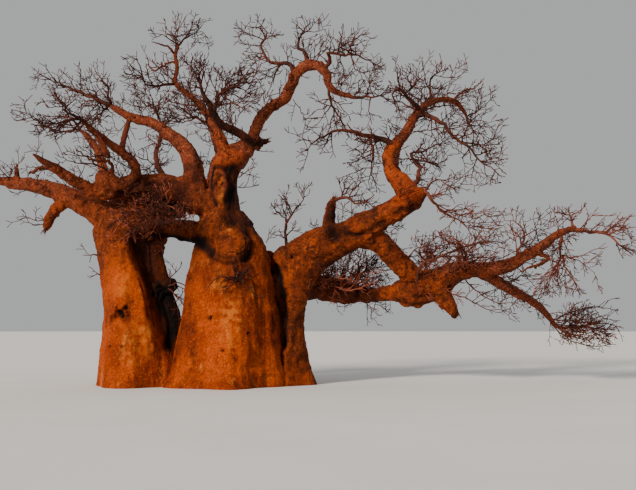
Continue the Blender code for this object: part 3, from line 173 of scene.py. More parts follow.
# Masses of twigs: radius of the stem's root, depths of the stem's root and tip, the longest twig that
# the rule grows, right and height along the stem, and the forks, each with the depth of its tip
MASSES = {
    "west_tip_twigs": (0.075, (1.3, 1.75), 0.75, [(-5.97, 5.63), (-6.4, 5.75), (-6.8, 5.95), (-7.1, 6.2)],
        [([(-6.2, 5.69), (-6.5, 5.45), (-6.8, 5.22)], 1.05)]),
    "arch_twigs": (0.08, (0.78, 1.9), 0.75, [(-2.8, 7.66), (-3.13, 7.84), (-3.41, 7.96), (-3.95, 8.2),
        (-4.45, 8.4), (-4.95, 8.63)],
        [([(-2.9, 7.71), (-2.95, 8.14), (-3.2, 8.55)], 0.4), ([(-2.95, 7.74), (-3.15, 7.52),
         (-3.5, 7.32)], 0.0)]),
    "curled_twigs": (0.052, (-2.0, -2.7), 0.7, [(-3.63, 7.27), (-3.92, 7.47), (-4.2, 7.6), (-4.28, 7.95)],
        [([(-3.75, 7.36), (-4.26, 7.29), (-4.75, 7.2), (-5.3, 7.55), (-5.65, 7.62)], -3.1), ([(-3.7, 7.33),
         (-4.0, 7.02), (-4.4, 6.96), (-4.75, 6.86)], -1.9)]),
    "riser_twigs": (0.1, (-0.32, 1.6), 0.6, [(-1.42, 5.68), (-1.58, 6.05), (-1.64, 6.38), (-1.53, 6.75),
        (-1.52, 7.25), (-1.7, 7.68), (-1.75, 7.92), (-1.84, 8.22)],
        [([(-1.71, 7.75), (-2.05, 7.67), (-2.28, 7.6)], 1.8)]),
    "clump_west_twigs": (0.05, (0.3, 0.0), 0.7, [(-0.08, 7.22), (-0.5, 7.36), (-0.85, 7.62), (-1.28, 7.78)],
        [([(-0.55, 7.39), (-0.9, 7.27), (-1.25, 7.3)], 0.8)]),
    "clump_top_twigs": (0.075, (-0.74, -1.3), 0.75, [(-0.13, 7.76), (-0.35, 8.1), (-0.45, 8.4),
        (-0.38, 8.7), (-0.12, 8.88)],
        [([(-0.43, 8.38), (-0.62, 8.75), (-0.92, 8.98)], -1.8)]),
    "clump_east_twigs": (0.065, (-0.66, -1.5), 0.75, [(-0.03, 7.5), (0.12, 8.02), (0.45, 8.2), (0.9, 8.37),
        (1.28, 8.36)],
        [([(0.2, 8.07), (0.5, 7.8), (0.95, 7.62)], -1.9), ([(0.22, 8.08), (0.3, 8.35),
         (0.34, 8.64)], -0.5)]),
    "top_left_twigs": (0.038, (1.4, 2.1), 0.6, [(-1.04, 9.37), (-0.87, 9.57), (-0.62, 9.7), (-0.45, 9.82),
        (-0.3, 10.08)],
        [([(-1.0, 9.43), (-1.27, 9.56), (-1.47, 9.71), (-1.76, 9.74)], 0.7), ([(-0.6, 9.71), (-0.33, 9.76),
         (-0.14, 9.48)], 2.4)]),
    "left_loop_twigs": (0.05, (1.05, 0.2), 0.6, [(-1.08, 8.33), (-1.56, 8.28), (-1.9, 8.33), (-2.04, 8.65),
        (-2.16, 9.0), (-2.46, 9.15)],
        [([(-1.97, 8.48), (-2.35, 8.58)], -0.1)]),
    "crown_west_twigs": (0.08, (0.36, 1.8), 0.6, [(2.2, 8.6), (2.05, 8.88), (1.62, 8.9), (1.4, 9.1),
        (1.3, 9.42), (1.44, 9.74), (1.28, 9.95), (1.12, 10.12)],
        [([(1.33, 9.53), (1.12, 9.68), (0.85, 9.76), (0.6, 9.68)], 0.9), ([(1.85, 8.89), (1.68, 8.65),
         (1.62, 8.3)], 0.6)]),
    "crown_top_twigs": (0.085, (0.02, 0.5), 0.6, [(2.62, 8.85), (2.5, 9.18), (2.35, 9.33), (2.37, 9.6),
        (2.5, 9.88), (2.62, 9.99)],
        [([(2.44, 9.78), (2.75, 9.78), (3.1, 9.85)], -0.2)]),
    "crown_east_twigs": (0.065, (-0.42, -2.0), 0.65, [(3.0, 8.75), (3.2, 8.92), (3.15, 9.18), (3.6, 9.12),
        (3.96, 9.12), (4.3, 8.97), (4.62, 8.78)],
        [([(3.58, 9.13), (3.48, 9.5), (3.56, 9.75)], -0.6), ([(3.78, 9.12), (3.85, 8.75), (4.15, 8.6),
         (4.3, 8.3)], -1.0)]),
    "crown_tip_twigs": (0.052, (-1.28, -1.9), 0.65, [(3.76, 7.97), (4.2, 7.95), (4.55, 8.0), (4.9, 8.1)],
        [([(4.4, 7.98), (4.3, 8.3), (4.42, 8.62)], -2.2), ([(4.35, 7.97), (4.28, 7.6),
         (4.36, 7.2)], -1.0)]),
    "crown_hanging_twigs": (0.045, (-0.78, -0.3), 0.75, [(3.16, 8.22), (3.2, 7.88), (3.4, 7.5), (3.6, 7.15),
        (3.78, 6.93)],
        [([(3.24, 7.8), (3.0, 7.42), (2.82, 7.18)], -1.2)]),
    "east_top_twigs": (0.09, (0.12, -0.9), 0.7, [(5.64, 7.55), (5.45, 7.88), (5.25, 8.08), (5.0, 8.15),
        (4.95, 7.98), (5.04, 7.7)],
        [([(5.1, 8.14), (5.1, 8.45), (5.03, 8.68)], -0.9), ([(5.28, 8.06), (5.6, 8.4),
         (5.68, 8.76)], 0.2)]),
    "east_crest_twigs": (0.048, (0.48, 1.2), 0.65, [(6.02, 7.82), (5.95, 8.2), (6.0, 8.48), (6.22, 8.65),
        (6.3, 8.95)],
        [([(6.1, 8.58), (6.45, 8.5), (6.78, 8.52)], 0.4), ([(5.96, 8.3), (5.62, 8.22),
         (5.35, 8.42)], 1.2)]),
    "east_right_twigs": (0.045, (1.26, 1.8), 0.7, [(6.93, 7.55), (7.03, 7.25), (7.2, 7.0), (7.38, 6.82)],
        [([(6.98, 7.4), (7.3, 7.6), (7.6, 7.85), (7.8, 8.05)], 2.1), ([(7.03, 7.25), (7.35, 7.34),
         (7.62, 7.24)], 0.9)]),
    "east_droop_twigs": (0.08, (0.1, -2.4), 0.7, [(5.55, 7.44), (5.95, 7.45), (6.35, 7.2), (6.6, 6.87),
        (6.95, 6.68), (7.3, 6.24), (7.65, 6.0), (7.97, 5.72)],
        [([(7.28, 6.26), (7.15, 5.95), (7.1, 5.55)], -1.6), ([(6.92, 6.7), (7.4, 6.64),
         (7.92, 6.66)], -1.0)]),
    "east_inner_twigs": (0.085, (-0.62, 0.7), 0.7, [(5.45, 5.3), (5.67, 6.0), (5.42, 6.38), (5.8, 6.45),
        (6.1, 6.65), (6.42, 6.6)],
        [([(5.52, 6.25), (5.95, 6.15), (6.42, 6.05)], 1.2)]),
    "east_west_twigs": (0.1, (-0.12, -1.7), 0.7, [(5.0, 6.6), (4.65, 6.8), (4.2, 6.88), (3.7, 7.02),
        (3.28, 7.02), (2.88, 6.8), (2.48, 6.46)],
        [([(4.3, 6.87), (4.37, 6.4), (4.36, 6.0), (4.26, 5.62)], -1.1)]),
    "elbow_twigs": (0.06, (-0.66, -1.8), 0.7, [(5.6, 5.2), (5.84, 5.38), (6.03, 5.06), (6.4, 4.73),
        (6.78, 4.55), (7.05, 4.3), (7.13, 4.02)],
        [([(6.72, 4.58), (6.95, 4.85), (7.17, 5.02)], -2.0), ([(6.95, 4.4), (7.4, 4.35),
         (7.87, 4.28)], -1.3), ([(5.83, 5.36), (6.15, 5.65), (6.6, 5.62)], -0.2)]),
    "low_top_twigs": (0.07, (0.38, -1.6), 0.85, [(6.78, 3.18), (6.97, 3.55), (6.8, 3.85), (6.35, 3.98)],
        [([(6.95, 3.5), (6.45, 3.55), (5.9, 3.4)], -1.5), ([(6.96, 3.65), (7.3, 3.9), (7.6, 3.82)], -0.9)]),
    "low_back_twigs": (0.07, (0.8, 2.8), 0.85, [(5.9, 2.9), (5.85, 3.35), (6.1, 3.7), (6.55, 3.92)],
        [([(5.87, 3.42), (5.5, 3.72)], 2.2)]),
    "far_top_twigs": (0.05, (-0.1, 0.5), 0.65, [(8.33, 3.35), (8.42, 3.7), (8.62, 4.05), (8.4, 4.48),
        (7.98, 4.56)],
        [([(8.44, 4.42), (8.6, 4.86)], 0.0), ([(8.61, 4.08), (9.0, 4.3), (9.35, 4.15)], 0.9)]),
    "far_tip_twigs": (0.075, (-1.0, -1.8), 0.8, [(9.92, 4.3), (10.45, 4.23), (10.95, 4.13), (11.25, 3.85),
        (11.62, 3.58)],
        [([(10.9, 4.14), (11.3, 4.3), (11.78, 4.34)], -2.3), ([(9.98, 4.29), (9.88, 4.6),
         (9.8, 4.92)], -0.6)]),
    "far_low_twigs": (0.048, (-0.81, -1.0), 0.8, [(9.58, 4.18), (9.6, 3.75), (9.7, 3.3), (9.95, 2.9),
        (10.17, 2.58)],
        [([(9.62, 3.6), (10.1, 3.4), (10.55, 3.08)], -0.4), ([(9.64, 3.5), (9.4, 3.2),
         (9.2, 2.78)], -1.6)]),
    "descending_twigs": (0.06, (1.5, 2.2), 0.8, [(9.39, 1.7), (9.62, 1.55), (10.1, 1.6), (10.65, 1.55),
        (11.1, 1.5)],
        [([(9.6, 1.57), (9.9, 1.33), (10.4, 1.2)], 1.0), ([(9.85, 1.57), (10.1, 1.95),
         (10.38, 2.12)], 2.6)]),
    "hollow_twigs": (0.06, (1.4, 2.2), 0.7, [(3.68, 2.52), (3.93, 2.95), (3.98, 3.35), (4.1, 3.78)],
        [([(3.92, 2.93), (3.6, 3.22), (3.33, 3.45)], 2.6), ([(3.94, 2.98), (4.4, 3.2),
         (4.78, 3.28)], 2.6)]),
    "front_twigs": (0.06, (-0.4, -1.8), 0.75, [(-1.45, 5.32), (-1.6, 4.98), (-1.75, 4.7), (-1.98, 4.38)],
        [([(-1.62, 4.93), (-1.25, 4.8), (-0.88, 4.66)], -1.6), ([(-1.66, 4.87), (-2.1, 4.82),
         (-2.48, 4.6)], -1.6)]),
    "upright_twigs": (0.06, (0.18, -0.3), 0.6, [(2.12, 3.55), (1.95, 4.05), (2.0, 4.45), (2.22, 4.85),
        (2.45, 5.12), (2.45, 5.48)],
        [([(1.98, 4.3), (1.93, 4.6), (1.68, 4.8)], 0.5)]),
    "arched_twigs": (0.06, (0.14, -0.5), 0.6, [(3.25, 5.02), (3.45, 5.18), (3.65, 5.2), (3.88, 5.03),
        (4.18, 5.07), (4.42, 5.27)],
        [([(3.52, 5.2), (3.6, 5.56)], 0.5)]),
    "stem_twigs": (0.045, (-0.9, -1.6), 0.5, [(0.64, 2.84), (0.7, 2.96), (0.84, 3.12)],
        [([(0.68, 2.92), (0.45, 2.8), (0.3, 2.85)], -1.5)]),
    "back_twigs": (0.085, (2.56, 3.3), 0.95, [(-0.18, 7.36), (-0.3, 7.75), (-0.35, 8.1)],
        [([(-0.26, 7.6), (0.4, 7.8), (0.95, 8.0)], 3.7), ([(-0.28, 7.68), (-1.0, 7.78),
         (-1.45, 7.92)], 2.8)]),
    "back_east_twigs": (0.078, (2.26, 3.0), 0.85, [(5.48, 7.34), (5.75, 7.7), (5.92, 8.08)],
        [([(5.62, 7.53), (6.2, 7.72), (6.75, 7.7)], 3.2), ([(5.62, 7.55), (5.2, 7.8), (4.8, 7.85)], 3.0)]),
    "back_west_twigs": (0.072, (2.56, 3.2), 0.85, [(-3.57, 6.92), (-3.85, 7.2), (-4.15, 7.55)],
        [([(-3.72, 7.06), (-4.3, 7.02), (-4.85, 7.15)], 2.5), ([(-3.75, 7.1), (-3.4, 7.45),
         (-3.05, 7.6)], 3.3)]),
}

# Twigs that the solids have too. The shares are of a mass's reach, or of the radius a twig leaves from.
RING_STEP = 2.2
SHORTEST_STEP = 0.22
BURIED = 0.05
TWIG_TIP = 0.007
TWIG_ROOT = 0.018
TWIG_ROOT_SHARE = 0.75
TWIG_BENDS = 3
TWIG_SPACING = 0.65
SIDE_TWIG_SPACING_SHARE = 0.60
SIDE_TWIG_SHARE = 0.55
SPACE_SHARE = 0.60
LENGTHS = (0.65, 1.0)
LOSS_TO_TIP = 0.35
GOLDEN_TURN = math.radians(137.5)
LEAVING_ANGLE = math.radians(58.0)
KINK = math.radians(24.0)
KINKS = (0.6, 1.4)
TWIG_CLEARANCE = 0.012
TRIES = 4
TRY_TURN = 0.37
TRY_LENGTH = 0.85
FORK_SHARE = 0.70
TAPER = 0.80
STEM_HALF_SHARE = 0.45
FIRST_TWIG = 0.9
PAST_LAST_TWIG = 0.4
SHARES_TRIED = 9

# Finer twigs that only the looks have: spacing along the line they leave, longest, bends, root radius,
# the angles they leave at, and how far they turn at a bend
FINE_RANKS = {
    "side": (0.28, 0.95, 4, 0.0235, (42.0, 82.0), 0.42),
    "small": (0.26, 0.54, 3, 0.0180, (42.0, 85.0), 0.40),
    "tip": (0.29, 0.27, 1, 0.0145, (40.0, 80.0), 0.20),
    "fork": (1.0, 0.22, 1, 0.0132, (20.0, 50.0), 0.20),
}
FINE_TIP = 0.0096
FINE_MARGIN = 0.14
FINE_LENGTHS = (0.35, 1.0)
FINE_KINKS = (0.2, 1.6)
SOFT_ROOM = 0.45
AWAY = 0.14
RISE = 0.10
INWARD = -0.2
SIDE_SWAY = 0.5
ROOT_SHARE = 0.9
TURNED_SHARE = 0.5
SHORTENED = 0.6
SHORTENINGS = 3
ROOT_ROOM = 0.1
STICK_SHARE = 1.25
GUIDE_SIDES = 7
STICK_SIDES = 4
LOOSE_SIDES = 5
FINE_SIDES = 3
CROWN_MARGIN = 0.08
CROWN_ROOM = (np.array((*CAD_BOX[0][:2], 0.0)) + (-CROWN_MARGIN, -CROWN_MARGIN, BURIED),
              np.array(CAD_BOX[1]) + CROWN_MARGIN)
DENSITY = {
    "clump_west_twigs": 1.5, "clump_east_twigs": 1.3, "clump_top_twigs": 1.3, "riser_twigs": 1.1,
    "low_top_twigs": 1.0, "low_back_twigs": 1.1, "elbow_twigs": 1.0, "front_twigs": 2.0,
    "hollow_twigs": 1.5, "stem_twigs": 1.8, "east_inner_twigs": 0.9, "far_low_twigs": 1.2,
    "descending_twigs": 1.6, "arch_twigs": 1.2, "curled_twigs": 1.3, "top_left_twigs": 1.2,
}

# Pieces of twigs, each a part of the crown, with the masses that it stands for
TWIG_PIECES = {
    "west_twigs": ["west_tip_twigs", "arch_twigs", "curled_twigs", "riser_twigs", "back_west_twigs",
        "front_twigs", "stem_twigs"],
    "middle_twigs": ["clump_west_twigs", "clump_top_twigs", "clump_east_twigs", "top_left_twigs",
        "left_loop_twigs", "back_twigs"],
    "crown_twigs": ["crown_west_twigs", "crown_top_twigs", "crown_east_twigs", "crown_tip_twigs",
        "crown_hanging_twigs", "upright_twigs", "arched_twigs", "hollow_twigs"],
    "east_twigs": ["east_top_twigs", "east_crest_twigs", "east_right_twigs", "east_droop_twigs",
        "east_inner_twigs", "east_west_twigs", "back_east_twigs"],
    "low_twigs": ["elbow_twigs", "low_top_twigs", "low_back_twigs", "far_top_twigs", "far_tip_twigs",
        "far_low_twigs", "descending_twigs"],
}

# Small twigs straight from a limb: from and to which share of its length, how far apart, and longest;
# then the share of them that point up, where it isn't the usual one
WHISKERS = {
    "curled_limb": (0.1, 1.0, 0.13, 0.9), "crossing_bough": (0.35, 1.0, 0.16, 0.6),
    "arch_bough": (0.25, 1.0, 0.16, 0.6), "arch_limb": (0.0, 1.0, 0.11, 1.0),
    "red_limb": (0.05, 1.0, 0.12, 0.9), "dark_limb": (0.2, 1.0, 0.16, 0.9),
    "crown_limb": (0.15, 1.0, 0.2, 0.5), "crown_limb_outer": (0.0, 1.0, 0.14, 0.8),
    "east_riser": (0.25, 1.0, 0.25, 0.5), "east_crown_limb": (0.0, 1.0, 0.11, 1.0),
    "far_bough": (0.1, 1.0, 0.08, 1.0), "descending_bough": (0.1, 1.0, 0.11, 0.8),
    "west_bough": (0.25, 1.0, 0.16, 0.5), "low_bough": (0.2, 1.0, 0.2, 0.7),
    "back_bough": (0.3, 1.0, 0.22, 0.8), "prop_bough": (0.2, 0.9, 0.25, 0.4),
    "back_east_bough": (0.3, 1.0, 0.22, 0.8), "back_west_bough": (0.3, 1.0, 0.22, 0.8),
    "low_back_bough": (0.1, 1.0, 0.08, 0.7), "east_bough": (0.15, 1.0, 0.11, 0.6),
    "leader": (0.2, 1.0, 0.25, 0.4),
}
HANGING = {
    "far_bough": 0.35, "descending_bough": 0.45, "low_back_bough": 0.9,
}
WHISKERS_UP = 0.75
SHORTEST_WHISKER = 0.10
WHISKER_ROOT = 0.013
WHISKER_BENDS = 4
WHISKER_SUNK = 0.85
WHISKER_LEANS = (-0.1, 0.9)
WHISKER_RISE = 0.15
CROWN_FOOT = 3.0
LOOSE_TIP_DENSITY = 0.9
LOOSE_STEP = 0.12

# Where the random draws start
TWIG_SEED = 200
LIMB_TWIG_SEED = 300
SUNLIT_TWIG_SEED = 301
SPLINTER_SEED = 7
NOISE_PRIMES = np.array([73856093, 19349663, 83492791])

# Crooked lines: how far apart their joints are, and how far a joint moves aside
THIN_SWAY = (0.20, 0.020)
GUIDE_SWAY = (0.16, 0.018)
STICK_SWAY = (0.14, 0.008)
LOOSE_SWAY = (0.16, 0.012)
MOST_SWAY = 1.3

# Long loose twigs: root radius, then places as seen and their depth
LOOSE_TWIGS = [
    (0.044, [(0.64, 3.25, -0.95), (0.62, 2.98, -1.2), (0.52, 2.78, -1.3), (0.3, 2.6, -1.3)]),
    (0.038, [(0.64, 2.95, -1.15), (0.85, 2.8, -1.25), (1.05, 2.55, -1.25), (1.3, 2.3, -1.2)]),
    (0.034, [(0.6, 3.0, -1.15), (0.5, 3.25, -1.2), (0.56, 3.45, -1.25)]),
    (0.03, [(0.62, 3.02, -1.15), (0.4, 2.96, -1.25), (0.12, 2.99, -1.28), (-0.06, 2.86, -1.28)]),
    (0.03, [(0.66, 3.02, -1.15), (0.86, 3.06, -1.22), (1.06, 2.98, -1.22), (1.2, 3.06, -1.2)]),
    (0.024, [(-1.3, 2.72, -0.4), (-1.05, 2.8, -0.45), (-0.8, 2.72, -0.45), (-0.62, 2.5, -0.4)]),
    (0.02, [(-1.3, 2.65, -0.4), (-1.1, 2.48, -0.45), (-0.9, 2.2, -0.45), (-0.8, 1.95, -0.4)]),
    (0.01, [(5.02, 7.85, 0.2), (5.1, 7.6, 0.15), (5.2, 7.3, 0.1)]),
    (0.016, [(5.5, 7.0, 0.2), (6.25, 7.1, 0.1), (6.9, 7.2, 0.0)]),
    (0.014, [(4.3, 6.9, 0.1), (4.42, 6.45, 0.0), (4.38, 6.0, -0.05), (4.26, 5.6, -0.05)]),
    (0.012, [(2.17, 7.9, 0.1), (2.47, 7.36, 0.0), (2.42, 6.83, 0.0)]),
    (0.014, [(1.49, 7.66, 0.1), (1.35, 7.8, 0.0), (1.5, 8.0, 0.0), (1.8, 8.07, 0.05)]),
    (0.016, [(0.66, 5.73, -0.3), (0.8, 5.85, -0.35), (1.03, 5.99, -0.35)]),
    (0.014, [(0.6, 5.48, -0.3), (0.85, 5.47, -0.35), (1.08, 5.5, -0.35)]),
    (0.014, [(5.0, 4.8, -0.1), (5.15, 4.98, -0.15), (5.3, 5.1, -0.15)]),
    (0.012, [(1.42, 3.92, -0.2), (1.5, 4.15, -0.25), (1.6, 4.33, -0.25)]),
    (0.055, [(5.62, 2.8, 0.2), (5.64, 3.15, 0.0), (5.82, 3.38, -0.1), (6.3, 3.55, -0.1), (6.9, 3.8, 0.0),
        (7.45, 3.95, 0.1), (8.0, 3.92, 0.2)]),
    (0.03, [(6.6, 3.15, 0.1), (6.85, 3.4, 0.0), (7.3, 3.52, -0.05), (7.8, 3.47, -0.05), (8.2, 3.62, 0.0)]),
    (0.03, [(5.35, 2.95, 0.3), (5.3, 3.4, 0.2), (5.6, 3.75, 0.1), (6.1, 3.9, 0.0)]),
    (0.022, [(6.95, 2.9, 0.3), (7.3, 2.55, 0.1), (7.75, 2.3, -0.1), (8.3, 2.25, -0.2)]),
    (0.02, [(6.6, 2.5, 0.3), (7.05, 2.35, 0.2), (7.5, 2.1, 0.1), (8.0, 2.05, 0.1)]),
    (0.022, [(8.1, 2.65, 0.7), (8.35, 2.95, 0.6), (8.75, 3.02, 0.5)]),
    (0.016, [(-4.62, 4.55, 0.3), (-4.95, 4.55, 0.2), (-5.3, 4.66, 0.1)]),
    (0.014, [(-4.7, 4.45, 0.3), (-5.0, 4.42, 0.2), (-5.28, 4.5, 0.1)]),
    (0.026, [(-3.0, 5.95, -1.0), (-3.4, 6.1, -1.1), (-3.85, 6.14, -1.2), (-4.3, 6.3, -1.3)]),
    (0.022, [(-3.1, 6.35, -1.2), (-3.5, 6.3, -1.3), (-3.95, 6.42, -1.4)]),
    (0.02, [(9.3, 1.8, 1.4), (9.75, 1.75, 1.3), (10.3, 1.8, 1.2), (10.8, 1.9, 1.1)]),
    (0.02, [(9.35, 1.7, 1.4), (9.75, 1.4, 1.2), (10.25, 1.3, 1.0), (10.7, 1.25, 0.9)]),
    (0.018, [(-5.7, 5.7, 1.1), (-5.95, 5.95, 0.9), (-6.05, 6.3, 0.8)]),
    (0.018, [(-5.75, 5.68, 1.1), (-5.6, 5.95, 0.9), (-5.35, 6.2, 0.8)]),
    (0.02, [(9.35, 1.75, 1.4), (9.9, 2.0, 1.5), (10.5, 2.15, 1.6), (11.1, 2.05, 1.7)]),
    (0.018, [(9.5, 1.65, 1.5), (10.1, 1.62, 1.6), (10.8, 1.68, 1.7), (11.35, 1.55, 1.8)]),
    (0.018, [(9.4, 1.6, 1.3), (9.9, 1.2, 1.2), (10.5, 1.05, 1.1), (11.0, 1.1, 1.0)]),
    (0.03, [(-3.22, 3.57, 0.1), (-3.36, 3.62, 0.05), (-3.5, 3.57, 0.0)]),
    (0.024, [(-3.16, 3.02, 0.1), (-3.28, 3.05, 0.05), (-3.38, 3.0, 0.0)]),
    (0.018, [(-1.36, 2.85, -0.1), (-1.15, 3.05, -0.15), (-0.95, 3.25, -0.15)]),
    (0.018, [(-1.26, 2.72, -0.1), (-1.02, 2.72, -0.15), (-0.78, 2.62, -0.15)]),
    (0.016, [(-1.24, 2.6, -0.1), (-1.02, 2.42, -0.15), (-0.82, 2.28, -0.15)]),
    (0.045, [(-0.72, 5.3, -0.25), (-0.52, 5.44, -0.3), (-0.34, 5.56, -0.3)]),
]

# Twigs that stand in the low sun before a dark limb: the same, for limbs and links, and loose ones
SUNLIT_WHISKERS = {
    "bridge_bough": (0.0, 0.7, 0.075, 0.9), "low_back_bough": (0.0, 0.8, 0.075, 0.85),
    "low_bough": (0.35, 1.0, 0.075, 0.85), "far_bough": (0.0, 0.35, 0.1, 0.6),
}
SUNLIT_LINKS = [("main_bark", 0, (0.05, 0.8, 0.09, 0.8)), ("east_bark", 1, (0.0, 1.0, 0.06, 0.85))]
SUNLIT_UP = 0.95
SUNLIT_LOOSE = [
    (0.026, [(-1.35, 4.95, -0.9), (-1.62, 5.02, -1.0), (-1.95, 5.2, -0.95)]),
    (0.026, [(-1.62, 5.02, -1.0), (-1.45, 5.2, -1.0), (-1.25, 5.42, -0.95)]),
    (0.02, [(-2.55, 4.35, -1.0), (-2.2, 4.55, -1.05), (-1.85, 4.5, -1.05), (-1.45, 4.62, -1.0)]),
    (0.014, [(-2.8, 4.75, -1.0), (-2.62, 4.5, -1.05), (-2.35, 4.3, -1.05), (-2.2, 4.05, -1.02)]),
    (0.036, [(-1.5, 5.2, -0.6), (-1.55, 4.85, -0.9), (-1.35, 4.6, -1.0), (-1.05, 4.45, -0.95)]),
    (0.034, [(-1.7, 5.15, -0.6), (-1.85, 4.8, -0.85), (-2.1, 4.5, -0.95), (-2.25, 4.15, -1.0)]),
    (0.024, [(-1.6, 4.75, -0.85), (-1.6, 4.45, -1.0), (-1.8, 4.15, -1.05)]),
    (0.02, [(-1.85, 4.8, -0.85), (-2.2, 4.85, -1.0), (-2.5, 4.7, -1.05), (-2.75, 4.75, -1.05)]),
    (0.024, [(-1.58, 4.9, -0.85), (-1.3, 4.95, -1.0), (-1.05, 4.8, -1.05), (-0.85, 4.62, -1.0)]),
    (0.026, [(2.75, 2.55, 0.7), (3.1, 2.85, 0.5), (3.55, 2.95, 0.4), (4.1, 2.8, 0.3)]),
    (0.024, [(2.9, 2.6, 0.8), (3.3, 2.7, 0.6), (3.8, 2.6, 0.5), (4.4, 2.85, 0.4)]),
    (0.024, [(3.3, 2.5, 1.0), (3.6, 2.75, 0.8), (4.0, 3.05, 0.7), (4.5, 3.1, 0.6)]),
    (0.022, [(2.7, 2.7, 0.7), (2.9, 3.05, 0.6), (3.3, 3.2, 0.5)]),
]

# Pieces of bark: the finest step of the skin, and the stems and boughs that the piece stands for
BARK_PIECES = {
    "west_bark": (0.0275, ["west_stem", "west_bough", "back_west_bough"]),
    "main_bark": (0.0355, ["main_stem", "leader", "crossing_bough", "bridge_bough", "arch_bough",
        "arch_limb", "curled_limb", "red_limb", "dark_limb", "crown_limb", "crown_limb_outer",
        "back_bough"]),
    "east_bark": (0.0305, ["east_stem", "east_bough", "east_riser", "east_crown_limb", "prop_bough",
        "low_bough", "far_bough", "descending_bough", "low_back_bough", "back_east_bough"]),
}
SKIN_ROUNDS = 4
SOFTENING = 0.5
BELOW_CUT = 0.035
THIN = 0.050
THIN_SIDES = 9
STEM_SIDES = 72
LIMB_SIDES = 20
STEM_RISE = 0.12
LOBE_WIND = 0.8
LONG_SWELL = 0.5
LIMB_STEP = 0.35
SHORTEST_LIMB_STEP = 0.05
ROUNDING = (0.45, 0.80, 0.98)
FLARE = 0.18
FLARE_RUN = 1.6
UNFLARED = ["east_riser", "arch_limb", "crown_limb_outer", "east_crown_limb", "far_bough", "low_bough"]
EVENING_ROUNDS = 14
FOOT_LIFT = 0.35
AT_ONCE = 4000

# Limbs that only join two others: right, height, depth and radius
LINKS = {
    "main_bark": [[(-2.45, 4.92, 0.38, 0.33), (-1.8, 5.0, 0.4, 0.33), (-1.32, 4.88, 0.34, 0.33),
        (-1.02, 4.84, 0.26, 0.24)]],
    "east_bark": [[(4.95, 2.53, 0.78, 0.26), (4.55, 2.48, 1.15, 0.2), (4.05, 2.48, 1.62, 0.18)],
        [(2.5, 2.72, 0.75, 0.34), (3.2, 2.62, 1.1, 0.36), (3.9, 2.5, 1.55, 0.28), (4.4, 2.46, 1.95, 0.18)]],
}

# Swellings that fuse limbs where they touch: right, height, depth, radius and half length upright
SWELLINGS = {
    "main_bark": [(1.5, 3.42, 0.28, 0.17, 0.14), (1.7, 2.45, 0.2, 0.22, 0.6), (1.66, 1.6, 0.2, 0.2, 0.6),
        (-0.55, 5.05, -0.2, 0.3, 0.1)],
    "east_bark": [(5.32, 2.46, 0.78, 0.31, 0.03), (5.6, 2.75, 0.6, 0.4, 0.05),
        (1.92, 3.4, 0.2, 0.36, 0.06)],
    "west_bark": [(-1.4, 2.68, -0.3, 0.16, 0.03)],
}

